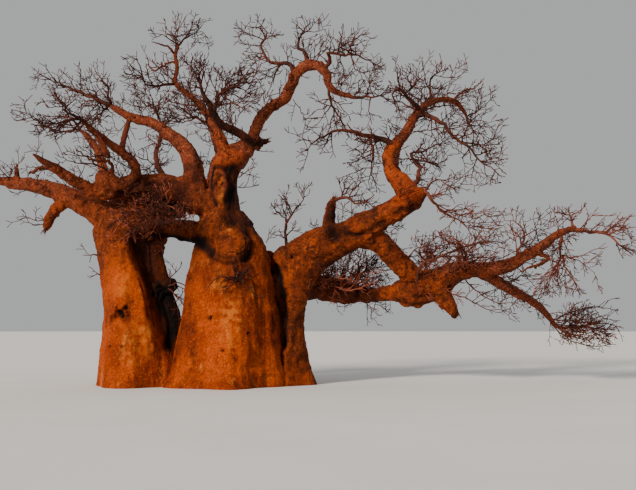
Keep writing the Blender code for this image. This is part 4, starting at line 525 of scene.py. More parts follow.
# Marks on the front: right and height as seen, kind, radius and how tall it is for its width
FRONT_MARKS = {
    "main_bark": [(0.46, 3.88, "collar", 0.57, 1.0), (0.48, 1.9, "pale", 0.34, 1.7),
        (0.4, 1.3, "pale", 0.26, 1.2), (-0.12, 1.85, "hole", 0.07, 1.2), (0.23, 0.93, "hole", 0.06, 1.0),
        (0.89, 1.41, "hole", 0.05, 1.0), (0.11, 5.55, "scar", 0.24, 1.9), (0.2, 5.22, "pale", 0.13, 1.7),
        (0.04, 5.78, "pale", 0.09, 1.0), (-0.8, 5.66, "burl", 0.2, 1.0), (-0.35, 5.5, "burl", 0.11, 1.4),
        (0.95, 2.3, "burl", 0.1, 1.2), (-1.9, 5.62, "burl", 0.12, 0.8), (0.35, 6.25, "hide", 0.5, 0.8),
        (0.15, 6.75, "hide", 0.35, 1.3), (0.2, 4.22, "pale", 0.1, 0.6), (0.42, 4.28, "pale", 0.11, 0.5),
        (0.05, 2.7, "pale", 0.3, 0.6), (-0.83, 4.83, "pocket", 0.17, 0.8), (0.25, 5.18, "burl", 0.1, 1.8),
        (1.12, 6.42, "break", 0.16, 0.8)],
    "west_bark": [(-2.6, 1.98, "hole", 0.16, 0.9), (-2.47, 2.1, "hole", 0.11, 0.9),
        (-2.72, 1.88, "hole", 0.11, 0.9), (-2.83, 1.79, "hole", 0.08, 0.9),
        (-2.53, 1.88, "hole", 0.09, 1.1), (-2.68, 2.12, "hole", 0.06, 0.9),
        (-2.83, 1.04, "hole", 0.05, 1.0), (-2.57, 1.04, "hole", 0.05, 1.0),
        (-3.22, 3.57, "burl", 0.15, 0.8), (-2.02, 1.22, "pale", 0.46, 1.2), (-2.3, 0.75, "pale", 0.3, 0.9),
        (-2.55, 2.75, "pale", 0.25, 1.3), (-3.16, 3.02, "burl", 0.1, 0.8), (-1.42, 2.7, "burl", 0.3, 0.9),
        (-1.62, 2.56, "hole", 0.11, 1.2), (-1.56, 2.82, "burl", 0.12, 0.9),
        (-1.27, 2.74, "burl", 0.13, 0.9), (-1.4, 2.9, "burl", 0.11, 1.0), (-3.7, 5.0, "burl", 0.14, 0.7),
        (-1.6, 3.6, "crust", 0.42, 1.9), (-1.2, 2.2, "crust", 0.4, 2.0)],
    "east_bark": [(5.35, 5.35, "hide", 0.55, 1.0), (5.74, 4.9, "dent", 0.34, 1.0),
        (5.02, 5.9, "hide", 0.4, 1.2), (4.9, 6.45, "hide", 0.35, 1.2), (2.13, 3.52, "hole", 0.09, 1.2),
        (2.75, 3.1, "burl", 0.16, 0.8), (4.78, 4.35, "break", 0.26, 0.7), (6.95, 3.18, "hole", 0.1, 0.8),
        (6.5, 2.65, "scar", 0.14, 1.2), (3.28, 4.12, "pocket", 0.3, 1.1), (5.3, 5.0, "burl", 0.16, 1.0),
        (5.6, 2.6, "burl", 0.2, 0.8), (3.95, 4.3, "burl", 0.16, 0.8), (3.16, 4.62, "burl", 0.13, 1.2),
        (3.26, 4.92, "burl", 0.12, 1.0)],
}

# How far a mark stands out for its radius: its rim, its middle, its dome, and the roughness that the
# middle and the dome take
MARK_LIFTS = {
    "hole": (0.28, -0.75, 0.0, 0.0, 0.0), "pocket": (0.10, -0.60, 0.0, 0.0, 0.0),
    "burl": (0.0, 0.0, 0.45, 0.0, 0.30), "scar": (0.20, -0.45, 0.0, -0.36, 0.0),
    "dent": (0.0, 0.0, -0.45, 0.0, 0.0), "break": (0.0, -0.16, 0.0, 0.38, 0.0),
}
COLLAR_WAY = (0.72, -0.69)
COLLAR_WRINKLE = 0.070
MARK_REACH = 1.6
BACK_MARKS = 14
BACK_KINDS = ("hole", "burl", "scar")
BACK_RADII = (0.07, 0.22)
BACK_HEIGHTS = (0.9, 1.8)
BROKEN = ["leader", "crossing_bough"]
BROKEN_END = 0.06
SPLINTERS = 7
SPLINTER_PLACES = (0.2, 0.9)
SPLINTER_LEANS = (0.0, 0.5)
SPLINTER_LENGTHS = (1.0, 2.4)
SPLINTER_RADII = (0.012, 0.026)
SPLINTER_SUNK = 0.4
SPLINTER_TAPER = 0.8

# Creases and bands of painted shade on the front: depth, width, darkness of the painted shade, and the line
# that each follows as seen
GROOVES = {
    "main_bark": [
        (0.11, 0.2, 1.0, [(0.42, 5.92), (0.47, 5.6), (0.47, 5.2), (0.46, 4.8), (0.52, 4.55)]),
        (0.0, 0.25, 1.0, [(0.52, 5.9), (0.54, 5.5), (0.52, 5.05), (0.46, 4.62)]),
        (0.0, 0.16, 1.0, [(0.42, 5.2), (0.4, 4.9), (0.42, 4.55)]),
        (0.0, 0.17, 0.6, [(0.52, 4.6), (0.7, 4.42), (0.88, 4.2)]),
        (0.06, 0.1, 0.95, [(0.95, 4.12), (1.01, 3.9), (0.98, 3.66), (0.84, 3.47)]),
        (0.0, 0.17, 0.7, [(0.82, 4.16), (0.88, 3.9), (0.84, 3.66), (0.74, 3.52)]),
        (0.03, 0.06, 0.7, [(0.74, 3.4), (0.5, 3.33), (0.24, 3.36), (0.01, 3.47), (-0.16, 3.55)]),
        (0.03, 0.04, 0.7, [(0.56, 3.46), (0.3, 3.47), (0.1, 3.56), (-0.04, 3.68)]),
        (0.04, 0.17, 1.0, [(-0.48, 4.0), (-0.26, 3.8), (-0.1, 3.62)]),
        (0.0, 0.24, 0.36, [(-0.48, 3.5), (-0.58, 3.0), (-0.72, 2.3), (-0.86, 1.6), (-1.02, 1.0)]),
        (0.03, 0.03, 0.8, [(0.62, 3.29), (0.64, 3.03), (0.62, 2.85)]),
        (0.0, 0.5, 0.2, [(-0.32, 3.12), (0.0, 3.02), (0.36, 2.95)]),
        (0.0, 0.36, 0.55, [(-0.6, 5.18), (-1.1, 5.4), (-1.8, 5.48), (-2.4, 5.42)]),
        (0.0, 0.17, 0.62, [(-0.52, 5.6), (-0.46, 6.0), (-0.5, 6.45), (-0.66, 6.9)]),
        (0.0, 0.14, 0.62, [(-0.86, 6.0), (-0.66, 6.06), (-0.5, 6.02)]),
        (0.0, 0.17, 0.85, [(-1.8, 4.16), (-1.3, 4.08), (-0.8, 4.0), (-0.25, 3.92)]),
        (0.0, 0.3, 0.9, [(-2.0, 4.66), (-1.5, 4.68), (-1.0, 4.64)]),
        (0.0, 0.24, 0.92, [(-2.5, 4.98), (-1.9, 5.02), (-1.4, 5.0), (-1.0, 4.88)]),
        (0.0, 0.24, 0.75, [(0.6, 5.6), (0.6, 5.2), (0.62, 4.8), (0.8, 4.5)]),
        (0.15, 0.14, 1.0, [(1.62, 3.2), (1.74, 2.9), (1.84, 2.4), (1.88, 1.9), (1.86, 1.1)]),
        (0.0, 0.24, 0.45, [(1.46, 3.4), (1.56, 2.9), (1.66, 2.4), (1.7, 1.8), (1.7, 1.2)]),
        (0.0, 0.17, 0.85, [(1.46, 6.72), (1.1, 6.66), (0.74, 6.9), (0.42, 7.09), (0.14, 7.24),
            (-0.01, 7.48), (-0.14, 7.78)]),
        (0.05, 0.07, 0.85, [(-0.05, 5.98), (-0.1, 5.6), (-0.07, 5.25), (0.04, 4.98)]),
        (0.06, 0.08, 0.7, [(-0.05, 6.02), (0.16, 6.04), (0.32, 5.98)]),
        (0.0, 0.14, 0.55, [(0.74, 5.0), (0.96, 4.55), (1.14, 4.2)]),
        (0.04, 0.06, 0.4, [(0.95, 3.1), (1.15, 2.7), (1.18, 2.2)]),
        (0.09, 0.11, 1.0, [(-2.64, 5.28), (-1.94, 5.19), (-1.39, 5.07), (-0.97, 4.92), (-0.69, 4.8)])],
    "west_bark": [
        (0.06, 0.09, 0.8, [(-2.2, 4.0), (-2.02, 3.4), (-1.82, 2.8), (-1.66, 2.2)]),
        (0.0, 0.3, 0.75, [(-2.15, 4.1), (-2.02, 3.7), (-1.86, 3.1), (-1.75, 2.75)]),
        (0.0, 0.34, 1.0, [(-1.34, 2.3), (-1.16, 1.9), (-1.06, 1.5), (-1.1, 1.15)]),
        (0.0, 0.36, 0.86, [(-1.7, 4.05), (-1.58, 3.5), (-1.42, 2.9), (-1.32, 2.4)]),
        (0.0, 0.3, 0.6, [(-1.64, 2.6), (-1.48, 2.1), (-1.36, 1.6)]),
        (0.0, 0.3, 1.0, [(-1.2, 2.5), (-1.08, 2.2), (-1.03, 1.85), (-1.03, 1.45)]),
        (0.0, 0.16, 0.8, [(-1.18, 2.62), (-1.06, 2.38), (-1.01, 2.1)]),
        (0.0, 0.2, 0.62, [(-1.55, 2.74), (-1.36, 2.72), (-1.22, 2.68)]),
        (0.02, 0.04, 0.6, [(-2.1, 2.9), (-1.96, 2.4), (-1.86, 1.9)]),
        (0.02, 0.04, 0.6, [(-1.86, 2.6), (-1.74, 2.1), (-1.66, 1.6)]),
        (0.05, 0.07, 0.6, [(-2.95, 4.3), (-2.7, 4.55), (-2.4, 4.7)])],
    "east_bark": [
        (0.12, 0.14, 1.0, [(1.66, 3.25), (1.78, 2.9), (1.88, 2.4), (1.92, 1.9), (1.9, 1.1)]),
        (0.0, 0.22, 0.75, [(3.22, 4.25), (3.24, 4.6), (3.34, 5.05)]),
        (0.0, 0.3, 0.55, [(2.6, 2.5), (3.2, 2.52), (3.8, 2.44), (4.4, 2.42)]),
        (0.0, 0.18, 0.45, [(2.4, 3.0), (3.2, 3.34), (4.0, 3.78)]),
        (0.0, 0.22, 0.55, [(3.0, 4.05), (3.3, 4.15), (3.6, 4.2)]),
        (0.0, 0.16, 0.55, [(5.2, 4.52), (5.5, 4.8), (5.55, 5.0)]),
        (0.06, 0.08, 0.7, [(3.55, 4.22), (3.95, 4.12), (4.35, 4.28), (4.7, 4.52)]),
        (0.06, 0.08, 0.7, [(5.02, 4.72), (5.2, 4.85), (5.48, 4.9)])],
}
GROOVE_STEP = 0.08
LIP_HEIGHT = 0.22
LIP_PLACE = 1.7
LIP_WIDTH = 0.5

# The west stem's front edge: height and right
FOLD = [(0.5, -1.50), (1.2, -1.62), (1.7, -1.74), (2.5, -1.92), (3.0, -2.05), (3.4, -2.28), (4.3, -2.56)]
FOLD_RISE = 0.08
FOLD_DROP = 0.32
FOLD_WIDTH = 0.20
FOLD_FADE = (0.7, 0.5)

# Relief: the lumps' bands of width, then the limb's radius at most, and the height for it
BANDS = (1.1, 0.55, 0.28, 0.14, 0.07)
BAND_WIDTH = 0.42
LUMPS = (0.55, 0.14)
KNOTS = (0.5, 0.16)

# Finer relief: the height at most, and for the limb's radius
HEIGHTS = {"dimples": (0.018, 0.06), "furrows": (0.030, 0.14), "creases": (0.012, 0.08),
           "flakes": (0.017, 0.09)}

# Grain: how often its ridges come across the limb and along it, and its seed
GRAINS = {"folds": (1.25, 0.20, 25), "furrows": (4.2, 0.55, 21), "creases": (1.5, 7.0, 41)}
FOLD_HEIGHT = 0.13
FOLD_SIZES = (0.45, 1.0)

# The smooth hide begins where a stem is this thick, and ends this high
HIDE_SIZES = (0.55, 0.95)
HIDE_HEIGHTS = (4.0, 2.9)

# Colours as they look on a screen
BARK_TINTS = {
    "orange": (173, 68, 7), "red": (134, 46, 7), "pale": (212, 126, 48), "dark": (66, 25, 8),
    "crust": (106, 42, 14), "crust_orange": (152, 62, 14), "crust_dark": (42, 18, 11),
    "crust_light": (176, 98, 40), "limb": (108, 46, 28), "limb_light": (160, 88, 58),
    # The near-black tint is painted shade with dark stains, the one before it painted shade in fine creases,
    # and the one on the next line pale bare wood with painted highlight
    "slender": (96, 42, 22), "scar": (104, 40, 14), "painted_crease_shade": (40, 15, 7), "hollow": (12, 6, 4),
    "bare": (202, 110, 36),
}
TWIG_TINTS = {
    "twig_bark": {"dark": (42, 23, 18), "red": (84, 40, 28), "pale": (130, 76, 54)},
    "low_twig_bark": {"dark": (64, 32, 24), "red": (116, 56, 40), "pale": (158, 94, 68)},
    "sunlit_twig_bark": {"dark": (104, 51, 38), "red": (150, 78, 57), "pale": (184, 116, 88)},
    "bare_wood": {"dark": (60, 32, 18), "red": (108, 62, 32), "pale": (146, 94, 54)},
}
FLOOR_TINTS = {"light": (226, 224, 220), "dark": (214, 211, 206)}
FLOOR_RADIUS = 300.0
FLOOR_SIDES = 96
FLOOR_ROUGHNESS = 0.95
BARK_GLOSS = 0.10

# Lights: the way to each, its strength, its colour and how many degrees wide it is; then the surround
SUNS = {
    "key": ((-0.54, -0.76, 0.38), 5.2, (1.0, 0.92, 0.82), 9.0),
    "fill": ((0.7, 0.55, 0.6), 0.25, (0.94, 0.96, 1.0), 40.0),
}
WORLD_COLOUR = (0.86, 0.87, 0.88, 1.0)
WORLD_STRENGTH = 0.52


def at(right, height, depth=0.0):
    """The point at this depth that is seen from the viewpoint at this distance right and height."""
    ray = SIGHT + RIGHT * (right - AIM.x) + UPWARD * (height - AIM.z)
    return EYE + ray * ((depth - EYE.y) / ray.y)


def knots_of(axis):
    return [(*at(right, height, depth), radius) for right, height, depth, radius in axis]


def smooth_path(knots, step_of_radius, shortest):
    """Points on a smooth curve through the knots, closer together where the limb is thinner.

    Each knot and each point is an array of x, y, z, radius and any more sizes.
    """
    knots = [np.array(knot, dtype=float) for knot in knots]
    gaps = [np.linalg.norm(end[:3] - start[:3]) for start, end in zip(knots, knots[1:])]
    slopes = [(knots[1] - knots[0]) / gaps[0]]
    for index in range(1, len(knots) - 1):
        slopes.append((knots[index + 1] - knots[index - 1]) / (gaps[index - 1] + gaps[index]))
    slopes.append((knots[-1] - knots[-2]) / gaps[-1])
    path = [knots[0]]
    for index, gap in enumerate(gaps):
        start, end = knots[index], knots[index + 1]
        step = max(shortest, step_of_radius * 0.5 * (start[3] + end[3]))
        count = max(1, round(gap / step))
        for number in range(1, count + 1):
            t = number / count
            path.append((2 * t**3 - 3 * t**2 + 1) * start + (t**3 - 2 * t**2 + t) * gap * slopes[index]
                        + (3 * t**2 - 2 * t**3) * end + (t**3 - t**2) * gap * slopes[index + 1])
    return path


def limb_path(axis):
    """A limb's path, as close as its skin needs."""
    return smooth_path(knots_of(axis), LIMB_STEP, SHORTEST_LIMB_STEP)


def lengths_along(points):
    """How far along a path each of its points lies."""
    return np.concatenate([[0.0], np.cumsum(np.linalg.norm(np.diff(points[:, :3], axis=0), axis=1))])


def unit(vectors):
    return vectors / np.linalg.norm(vectors, axis=-1, keepdims=True)


def smooth_step(low, high, value):
    share = np.clip((value - low) / (high - low), 0.0, 1.0)
    return share * share * (3.0 - 2.0 * share)


def lattice_noise(points, seed):
    """Smooth noise from -1 to 1, blended between random values at whole-number places."""
    cell = np.floor(points).astype(np.int64)
    blend = points - cell
    blend = blend * blend * (3.0 - 2.0 * blend)
    total = np.zeros(len(points))
    for corner in itertools.product((0, 1), repeat=3):
        key = (cell + corner) @ NOISE_PRIMES + seed * 668265263
        key = ((key ^ (key >> 13)) * 1274126177) & 0x7FFFFFFF
        key = ((key ^ (key >> 15)) * 2246822519) & 0x7FFFFFFF
        value = ((key >> 8) & 0xFFFF) / 32767.5 - 1.0
        weight = np.prod(np.where(np.array(corner) == 1, blend, 1.0 - blend), axis=1)
        total += weight * value
    return total


def cloud_noise(points, seed, octaves=4):
    """Noise with finer and fainter noise added to it."""
    total = np.zeros(len(points))
    for octave in range(octaves):
        total += lattice_noise(points * 2.03 ** octave + 17.3 * octave, seed + octave) * 0.5 ** octave
    return total


def ridge_noise(points, seed, octaves=3):
    """Noise from 0 to 1 that is highest along narrow ridges."""
    total = np.zeros(len(points))
    for octave in range(octaves):
        fold = 1.0 - np.abs(lattice_noise(points * 2.1 ** octave + 9.1 * octave, seed + octave))
        total += fold ** 2 * 0.5 ** octave
    return total / 1.75


def closed_rings(rings):
    """Points and faces of a closed skin through rings that have the same number of points."""
    sides = len(rings[0])
    side = np.arange(sides)
    after = (side + 1) % sides
    faces = []
    for number in range(len(rings) - 1):
        low, high = number * sides, (number + 1) * sides
        faces += np.stack([low + side, low + after, high + after, high + side], axis=1).tolist()
    faces.append(side[::-1].tolist())
    faces.append((side + (len(rings) - 1) * sides).tolist())
    return np.concatenate(rings), faces


def limb_shape(path, sides=LIMB_SIDES):
    """A closed tube with rounded ends, whose rings are carried along the path without twist."""
    points = np.array([point[:3] for point in path])
    radii = np.array([point[3] for point in path])
    ways = np.gradient(points, axis=0)
    ways /= np.linalg.norm(ways, axis=1)[:, None]
    across = Vector(ways[0]).orthogonal().normalized()
    frames = []
    for way in ways:
        way = Vector(way)
        across = (across - way * across.dot(way)).normalized()
        frames.append((np.array(across), np.array(way.cross(across))))
    angles = math.tau * np.arange(sides) / sides

    def rounded(end, outward, steps):
        return [(points[end] + ways[end] * radii[end] * step * outward, frames[end],
                 radii[end] * math.sqrt(1.0 - step * step)) for step in steps]

    rings = [*rounded(0, -1, ROUNDING[::-1]), *zip(points, frames, radii), *rounded(-1, 1, ROUNDING)]
    return closed_rings([centre + radius * (np.outer(np.cos(angles), first)
                                            + np.outer(np.sin(angles), second))
                         for centre, (first, second), radius in rings])


def stem_shape(sections, lobes, phase, foot_lobe, top_lobe):
    """A stem's loft, as in the solid but smoother, from below the flat cut at the ground."""
    knots = []
    for height, left, right, middle, half_depth in sections:
        low, high = at(left, height, middle), at(right, height, middle)
        knots.append((0.5 * (low.x + high.x), middle, low.z, 0.5 * (high.x - low.x), half_depth))
    ground = knots[0][2]
    top = knots[-1][2] - ground
    angles = math.tau * np.arange(STEM_SIDES) / STEM_SIDES
    rings = []
    for centre_x, centre_y, height, half_width, half_depth in smooth_path(knots, 0.0, STEM_RISE):
        share = (height - ground) / top
        lobe = foot_lobe * (1.0 - share) ** 2 + top_lobe
        swell = 1.0 + lobe * np.cos(lobes * angles + phase + LOBE_WIND * share)
        swell += LONG_SWELL * lobe * np.cos(2.0 * angles - phase)
        across = np.cos(angles) * swell
        span = 2.0 * (across - across.min()) / (across.max() - across.min()) - 1.0
        rings.append(np.stack([centre_x + span * half_width, centre_y + np.sin(angles) * swell * half_depth,
                               np.full(STEM_SIDES, height - ground)], axis=1))
    rings.insert(0, rings[0] * (1.0, 1.0, 0.0) - (0.0, 0.0, 2.0 * BELOW_CUT))
    return closed_rings(rings)


def stem_line(sections):
    """A stem's middle line, as thick as the stem is wide and deep on average."""
    return [np.array((*at(0.5 * (left + right), height, middle), 0.25 * (right - left) + 0.5 * half_depth))
            for height, left, right, middle, half_depth in sections]


def flared(path, flare):
    """The path with its first stretch widened, where the limb grows out of another."""
    path = np.array(path)
    path[:, 3] *= 1.0 + flare * np.exp(-lengths_along(path) / (FLARE_RUN * path[0, 3]))
    return path


def crooked(line, rng, step, sway):
    """The line with more joints, each moved a little aside, so that it runs as crooked as wood does."""
    points = np.array(smooth_path(line, 0.0, step))
    offsets = rng.normal(0.0, 1.0, (len(points), 3)) * np.minimum(sway, MOST_SWAY * points[:, 3:4])
    offsets[[0, -1]] = 0.0
    points[:, :3] += offsets
    return points


def placed(name, data):
    """A new object in the scene."""
    made = bpy.data.objects.new(name, data)
    bpy.context.scene.collection.objects.link(made)
    return made


def mesh_of(name, shapes):
    """One mesh of some shapes, each given as its points and faces."""
    points, faces, start = [], [], 0
    for shape_points, shape_faces in shapes:
        points.append(shape_points)
        faces += [[start + corner for corner in face] for face in shape_faces]
        start += len(shape_points)
    mesh = bpy.data.meshes.new(name)
    mesh.from_pydata(np.concatenate(points).tolist(), [], faces)
    return mesh


def read(items, what, each, kind=np.float32):
    """One property of all of a mesh's items, with a row for each."""
    values = np.empty(each * len(items), dtype=kind)
    items.foreach_get(what, values)
    return values.reshape(-1, each)


def skin_mesh(name, shapes, step):
    """One closed skin over closed shapes that overlap, with its joints softened."""
    rough = placed(name, mesh_of(name, shapes))
    skin = rough.modifiers.new("skin", "REMESH")
    skin.mode = "VOXEL"
    skin.voxel_size = step
    soften = rough.modifiers.new("soften", "SMOOTH")
    soften.factor = SOFTENING
    soften.iterations = SKIN_ROUNDS
    bpy.context.view_layer.update()
    mesh = bpy.data.meshes.new_from_object(rough.evaluated_get(bpy.context.evaluated_depsgraph_get()))
    bpy.data.objects.remove(rough, do_unlink=True)
    return mesh


def finish_bark(mesh, thin):
    """Cuts the skin off flat at the ground, closes the cut and adds the limbs' thin ends."""
    work = bmesh.new()
    work.from_mesh(mesh)
    bmesh.ops.bisect_plane(work, geom=[*work.verts, *work.edges, *work.faces], plane_co=(0.0, 0.0, 0.0),
                           plane_no=(0.0, 0.0, 1.0), clear_inner=True)
    bmesh.ops.holes_fill(work, edges=[edge for edge in work.edges if edge.is_boundary], sides=0)
    if thin:
        ends = mesh_of("thin_ends", thin)
        work.from_mesh(ends)
        bpy.data.meshes.remove(ends)
    bmesh.ops.recalc_face_normals(work, faces=work.faces)
    work.to_mesh(mesh)
    work.free()


def limb_measures(points, paths):
    """How thick the nearest limb is at each point, and which way it runs."""
    starts = np.array([start for path in paths for start in path[:-1]])
    ends = np.array([end for path in paths for end in path[1:]])
    spans = ends[:, :3] - starts[:, :3]
    squares = np.einsum("ij,ij->i", spans, spans)
    sizes = np.empty(len(points))
    ways = np.empty((len(points), 3))
    for low in range(0, len(points), AT_ONCE):
        offsets = points[low:low + AT_ONCE, None] - starts[None, :, :3]
        share = np.clip(np.einsum("pij,ij->pi", offsets, spans) / squares, 0.0, 1.0)
        gaps = np.linalg.norm(offsets - share[..., None] * spans, axis=2)
        radii = starts[:, 3] * (1.0 - share) + ends[:, 3] * share
        best = np.argmin(gaps / radii, axis=1)
        sizes[low:low + AT_ONCE] = radii[np.arange(len(best)), best]
        ways[low:low + AT_ONCE] = spans[best] / np.sqrt(squares[best])[:, None]
    return sizes, ways


def evened(values, edges):
    """Values at a mesh's points, averaged with their neighbours' a few times."""
    count = np.bincount(edges.ravel(), minlength=len(values)).astype(float)
    values = values.reshape(len(values), -1)
    for _ in range(EVENING_ROUNDS):
        total = np.stack([np.bincount(edges[:, 0], column[edges[:, 1]], len(values))
                          + np.bincount(edges[:, 1], column[edges[:, 0]], len(values))
                          for column in values.T], axis=1)
        values = 0.5 * values + 0.5 * total / np.maximum(count, 1.0)[:, None]
    return values


def grain(points, ways, across, along, seed):
    """Ridges that are stretched the way the limb runs, or across it."""
    total = np.zeros(len(points))
    for axis in range(3):
        scales = np.full(3, across)
        scales[axis] = along
        total += ways[:, axis] ** 2 * ridge_noise(points * scales, seed + 31 * axis)
    return total


def banded(points, sizes, seed):
    """Lumps as wide as the limb is thick, blended between a few sizes of noise."""
    total, weights = np.zeros(len(points)), np.zeros(len(points))
    for number, size in enumerate(BANDS):
        weight = np.exp(-(np.log(sizes / size) / BAND_WIDTH) ** 2)
        total += weight * cloud_noise(points * (0.62 / size), seed + 13 * number, 2)
        weights += weight
    return total / np.maximum(weights, 1e-6)


def bark_relief(points, sizes, ways, crust):
    """How far the bark stands out at each point, by the limb's thickness and the way it runs."""
    heights = {kind: np.minimum(most, share * sizes) for kind, (most, share) in HEIGHTS.items()}
    ridges = {kind: grain(points, ways, *stretch) for kind, stretch in GRAINS.items()}
    lumps = banded(points, sizes, 3) * LUMPS[1] * np.minimum(sizes, LUMPS[0])
    knots = smooth_step(0.30, 0.75, banded(points * 1.9, sizes, 91))
    knots = knots * KNOTS[1] * np.minimum(sizes, KNOTS[0])
    folds = (ridges["folds"] - 0.62) * FOLD_HEIGHT * smooth_step(*FOLD_SIZES, sizes)
    dimples = cloud_noise(points * 2.6, 11, 3) * heights["dimples"]
    furrows = (ridges["furrows"] - 0.5) * heights["furrows"]
    creases = (ridges["creases"] - 0.5) * heights["creases"]
    flakes = cloud_noise(points * 9.0, 61, 2) * heights["flakes"] * (0.25 + 0.75 * crust)
    fine = furrows + creases + flakes
    return lumps + knots + folds + dimples + fine, fine


def on_bark(faces, line):
    """The places on the bark that are seen at these distances right and heights."""
    found = [faces.ray_cast(EYE, (at(right, height) - EYE).normalized())[0] for right, height in line]
    return [np.array(place) for place in found if place is not None]


def finer_line(line):
    """Places along a line of right and height, close enough together to lie on the bark."""
    places = []
    for start, end in zip(line, line[1:]):
        count = max(1, round(math.dist(start, end) / GROOVE_STEP))
        places += [np.array(start) + (np.array(end) - start) * number / count for number in range(count)]
    return [*places, line[-1]]


def add_marks(points, marks, lift, looks):
    """Holes, burls, scars and a swollen collar: each changes the bark within its own radius. Holes and
    pockets get painted shade, the collar painted shade and painted highlight in its wrinkles, and scars and
    broken ends dark stains and pale bare wood.
    """
    for place, kind, radius, tall in marks:
        offsets = points - place
        offsets[:, 2] /= tall
        far = np.linalg.norm(offsets, axis=1) / radius
        near = far < MARK_REACH
        t = far[near]
        rough = cloud_noise(points[near] * 9.0, 77, 3)
        if kind == "hole":
            t = t * (1.0 + 0.45 * rough)
        rim = np.exp(-((t - 0.95) / 0.22) ** 2)
        inner = 1.0 - smooth_step(0.35, 0.85, t)
        dome = np.clip(1.0 - t * t / 1.4, 0.0, 1.0)
        if kind in MARK_LIFTS:
            of_rim, of_inner, of_dome, rough_inner, rough_dome = MARK_LIFTS[kind]
            lift[near] += radius * (of_rim * rim + inner * (of_inner + rough_inner * rough)
                                    + dome * (of_dome + rough_dome * rough))
        # Painted shade in holes and pockets; dark stains and pale bare wood in scars and broken ends, paler
        # on a scar's right side
        amounts = {
            "hole": {"hollow": inner, "scar": 0.6 * rim},
            "pocket": {"hollow": 0.9 * inner},
            "burl": {"scar": 0.7 * dome},
            "scar": {"scar": inner, "hollow": 0.6 * inner * smooth_step(-0.2, 0.4, rough),
                     "bare": 0.7 * inner * smooth_step(-0.1, 0.5, -rough)
                     * smooth_step(-0.3, 0.3, offsets[near, 0] / radius)},
            "hide": {"smooth": smooth_step(0.15, 0.7, dome + 0.2 * rough)},
            "pale": {"bare": 0.80 * dome * smooth_step(-0.5, 0.6, rough)},
            "break": {"scar": dome, "hollow": 0.7 * inner * smooth_step(-0.1, 0.4, rough),
                      "bare": 0.8 * inner * smooth_step(0.0, 0.4, -rough)},
        }
        if kind == "hide":
            lift[near] *= 1.0 - 0.7 * dome
        elif kind == "crust":
            looks["smooth"][near] *= 1.0 - smooth_step(0.10, 0.6, dome + 0.2 * rough)
        elif kind == "collar":
            t = t * (1.0 + 0.16 * lattice_noise(points[near] * 2.4, 83))
            downward = (offsets[near, 0] * COLLAR_WAY[0] + offsets[near, 2] * COLLAR_WAY[1]) / radius
            within = (1.0 - smooth_step(0.80, 1.05, t)) * smooth_step(-0.55, 0.45, downward)
            wrinkle = np.cos(math.tau * radius * t / COLLAR_WRINKLE + 3.2 * rough)
            wrinkle *= within * smooth_step(0.30, 0.65, t) * smooth_step(-0.6, 0.1, rough + 0.2)
            lift[near] += radius * (0.16 * within + 0.062 * wrinkle)
            # Painted highlight on the wrinkles' crests and painted shade in their troughs
            amounts["collar"] = {"bare": 0.30 * np.clip(wrinkle, 0.0, 1.0),
                                 "hollow": 0.80 * np.clip(-wrinkle, 0.0, 1.0)}
        for layer, amount in amounts.get(kind, {}).items():
            looks[layer][near] = np.maximum(looks[layer][near], amount)


def line_gaps(points, line):
    """How far each point is from a line of places."""
    gaps = np.full(len(points), np.inf)
    for start, end in zip(line, line[1:]):
        span = end - start
        share = np.clip((points - start) @ span / max(span @ span, 1e-9), 0.0, 1.0)
        gaps = np.minimum(gaps, np.linalg.norm(points - start - share[:, None] * span, axis=1))
    return gaps


def add_groove(points, line, deep, wide, dark, lift, hollow):
    """A deep crease along a line on the bark, with a raised lip and a band of painted shade along it; with
    no depth there is only the painted shade.
    """
    far = line_gaps(points, line) / (wide * (1.0 + 0.25 * lattice_noise(points * 2.7, 55)))
    lip = LIP_HEIGHT * deep * np.exp(-((far - LIP_PLACE) / LIP_WIDTH) ** 2)
    lift += lip - deep * np.exp(-far ** 2)
    # Painted shade along the line, darkest nearest it
    shade = np.clip(dark * (1.0 + 0.35 * lattice_noise(points * 2.3, 57)), 0.0, 1.0)
    hollow[:] = np.maximum(hollow, shade * np.exp(-(far / 0.95) ** 4))


def add_fold(points, normals, lift):
    """The west stem's sharp front edge, with the flat face that turns away to its right."""
    heights, rights = zip(*FOLD)
    beyond = points[:, 0] - np.interp(points[:, 2], heights, rights)
    front = smooth_step(0.05, -0.45, normals[:, 1])
    within = smooth_step(heights[0], heights[0] + FOLD_FADE[0], points[:, 2])
    within = within * smooth_step(heights[-1], heights[-1] - FOLD_FADE[1], points[:, 2])
    rise = FOLD_RISE * np.exp(-(beyond / FOLD_WIDTH) ** 2)
    drop = FOLD_DROP * smooth_step(0.0, 0.5, beyond)
    lift += front * within * (rise - drop)


def scattered_marks(points, normals, sizes, seed):
    """Marks of a few kinds on the sides and the back, where the front's own list says nothing."""
    rng = random.Random(seed)
    marks = []
    behind = np.flatnonzero((normals[:, 1] > 0.15) & (sizes > 0.30) & (points[:, 2] > 0.5))
    for _ in range(BACK_MARKS):
        place = points[behind[rng.randrange(len(behind))]]
        marks.append((place, rng.choice(BACK_KINDS), rng.uniform(*BACK_RADII), rng.uniform(*BACK_HEIGHTS)))
    return marks


def is_broken(bough, number, path):
    """Whether a bough's axis or short side piece ends torn off, while it is still thick."""
    return (bough in BROKEN or number > 0) and path[-1][3] >= BROKEN_END


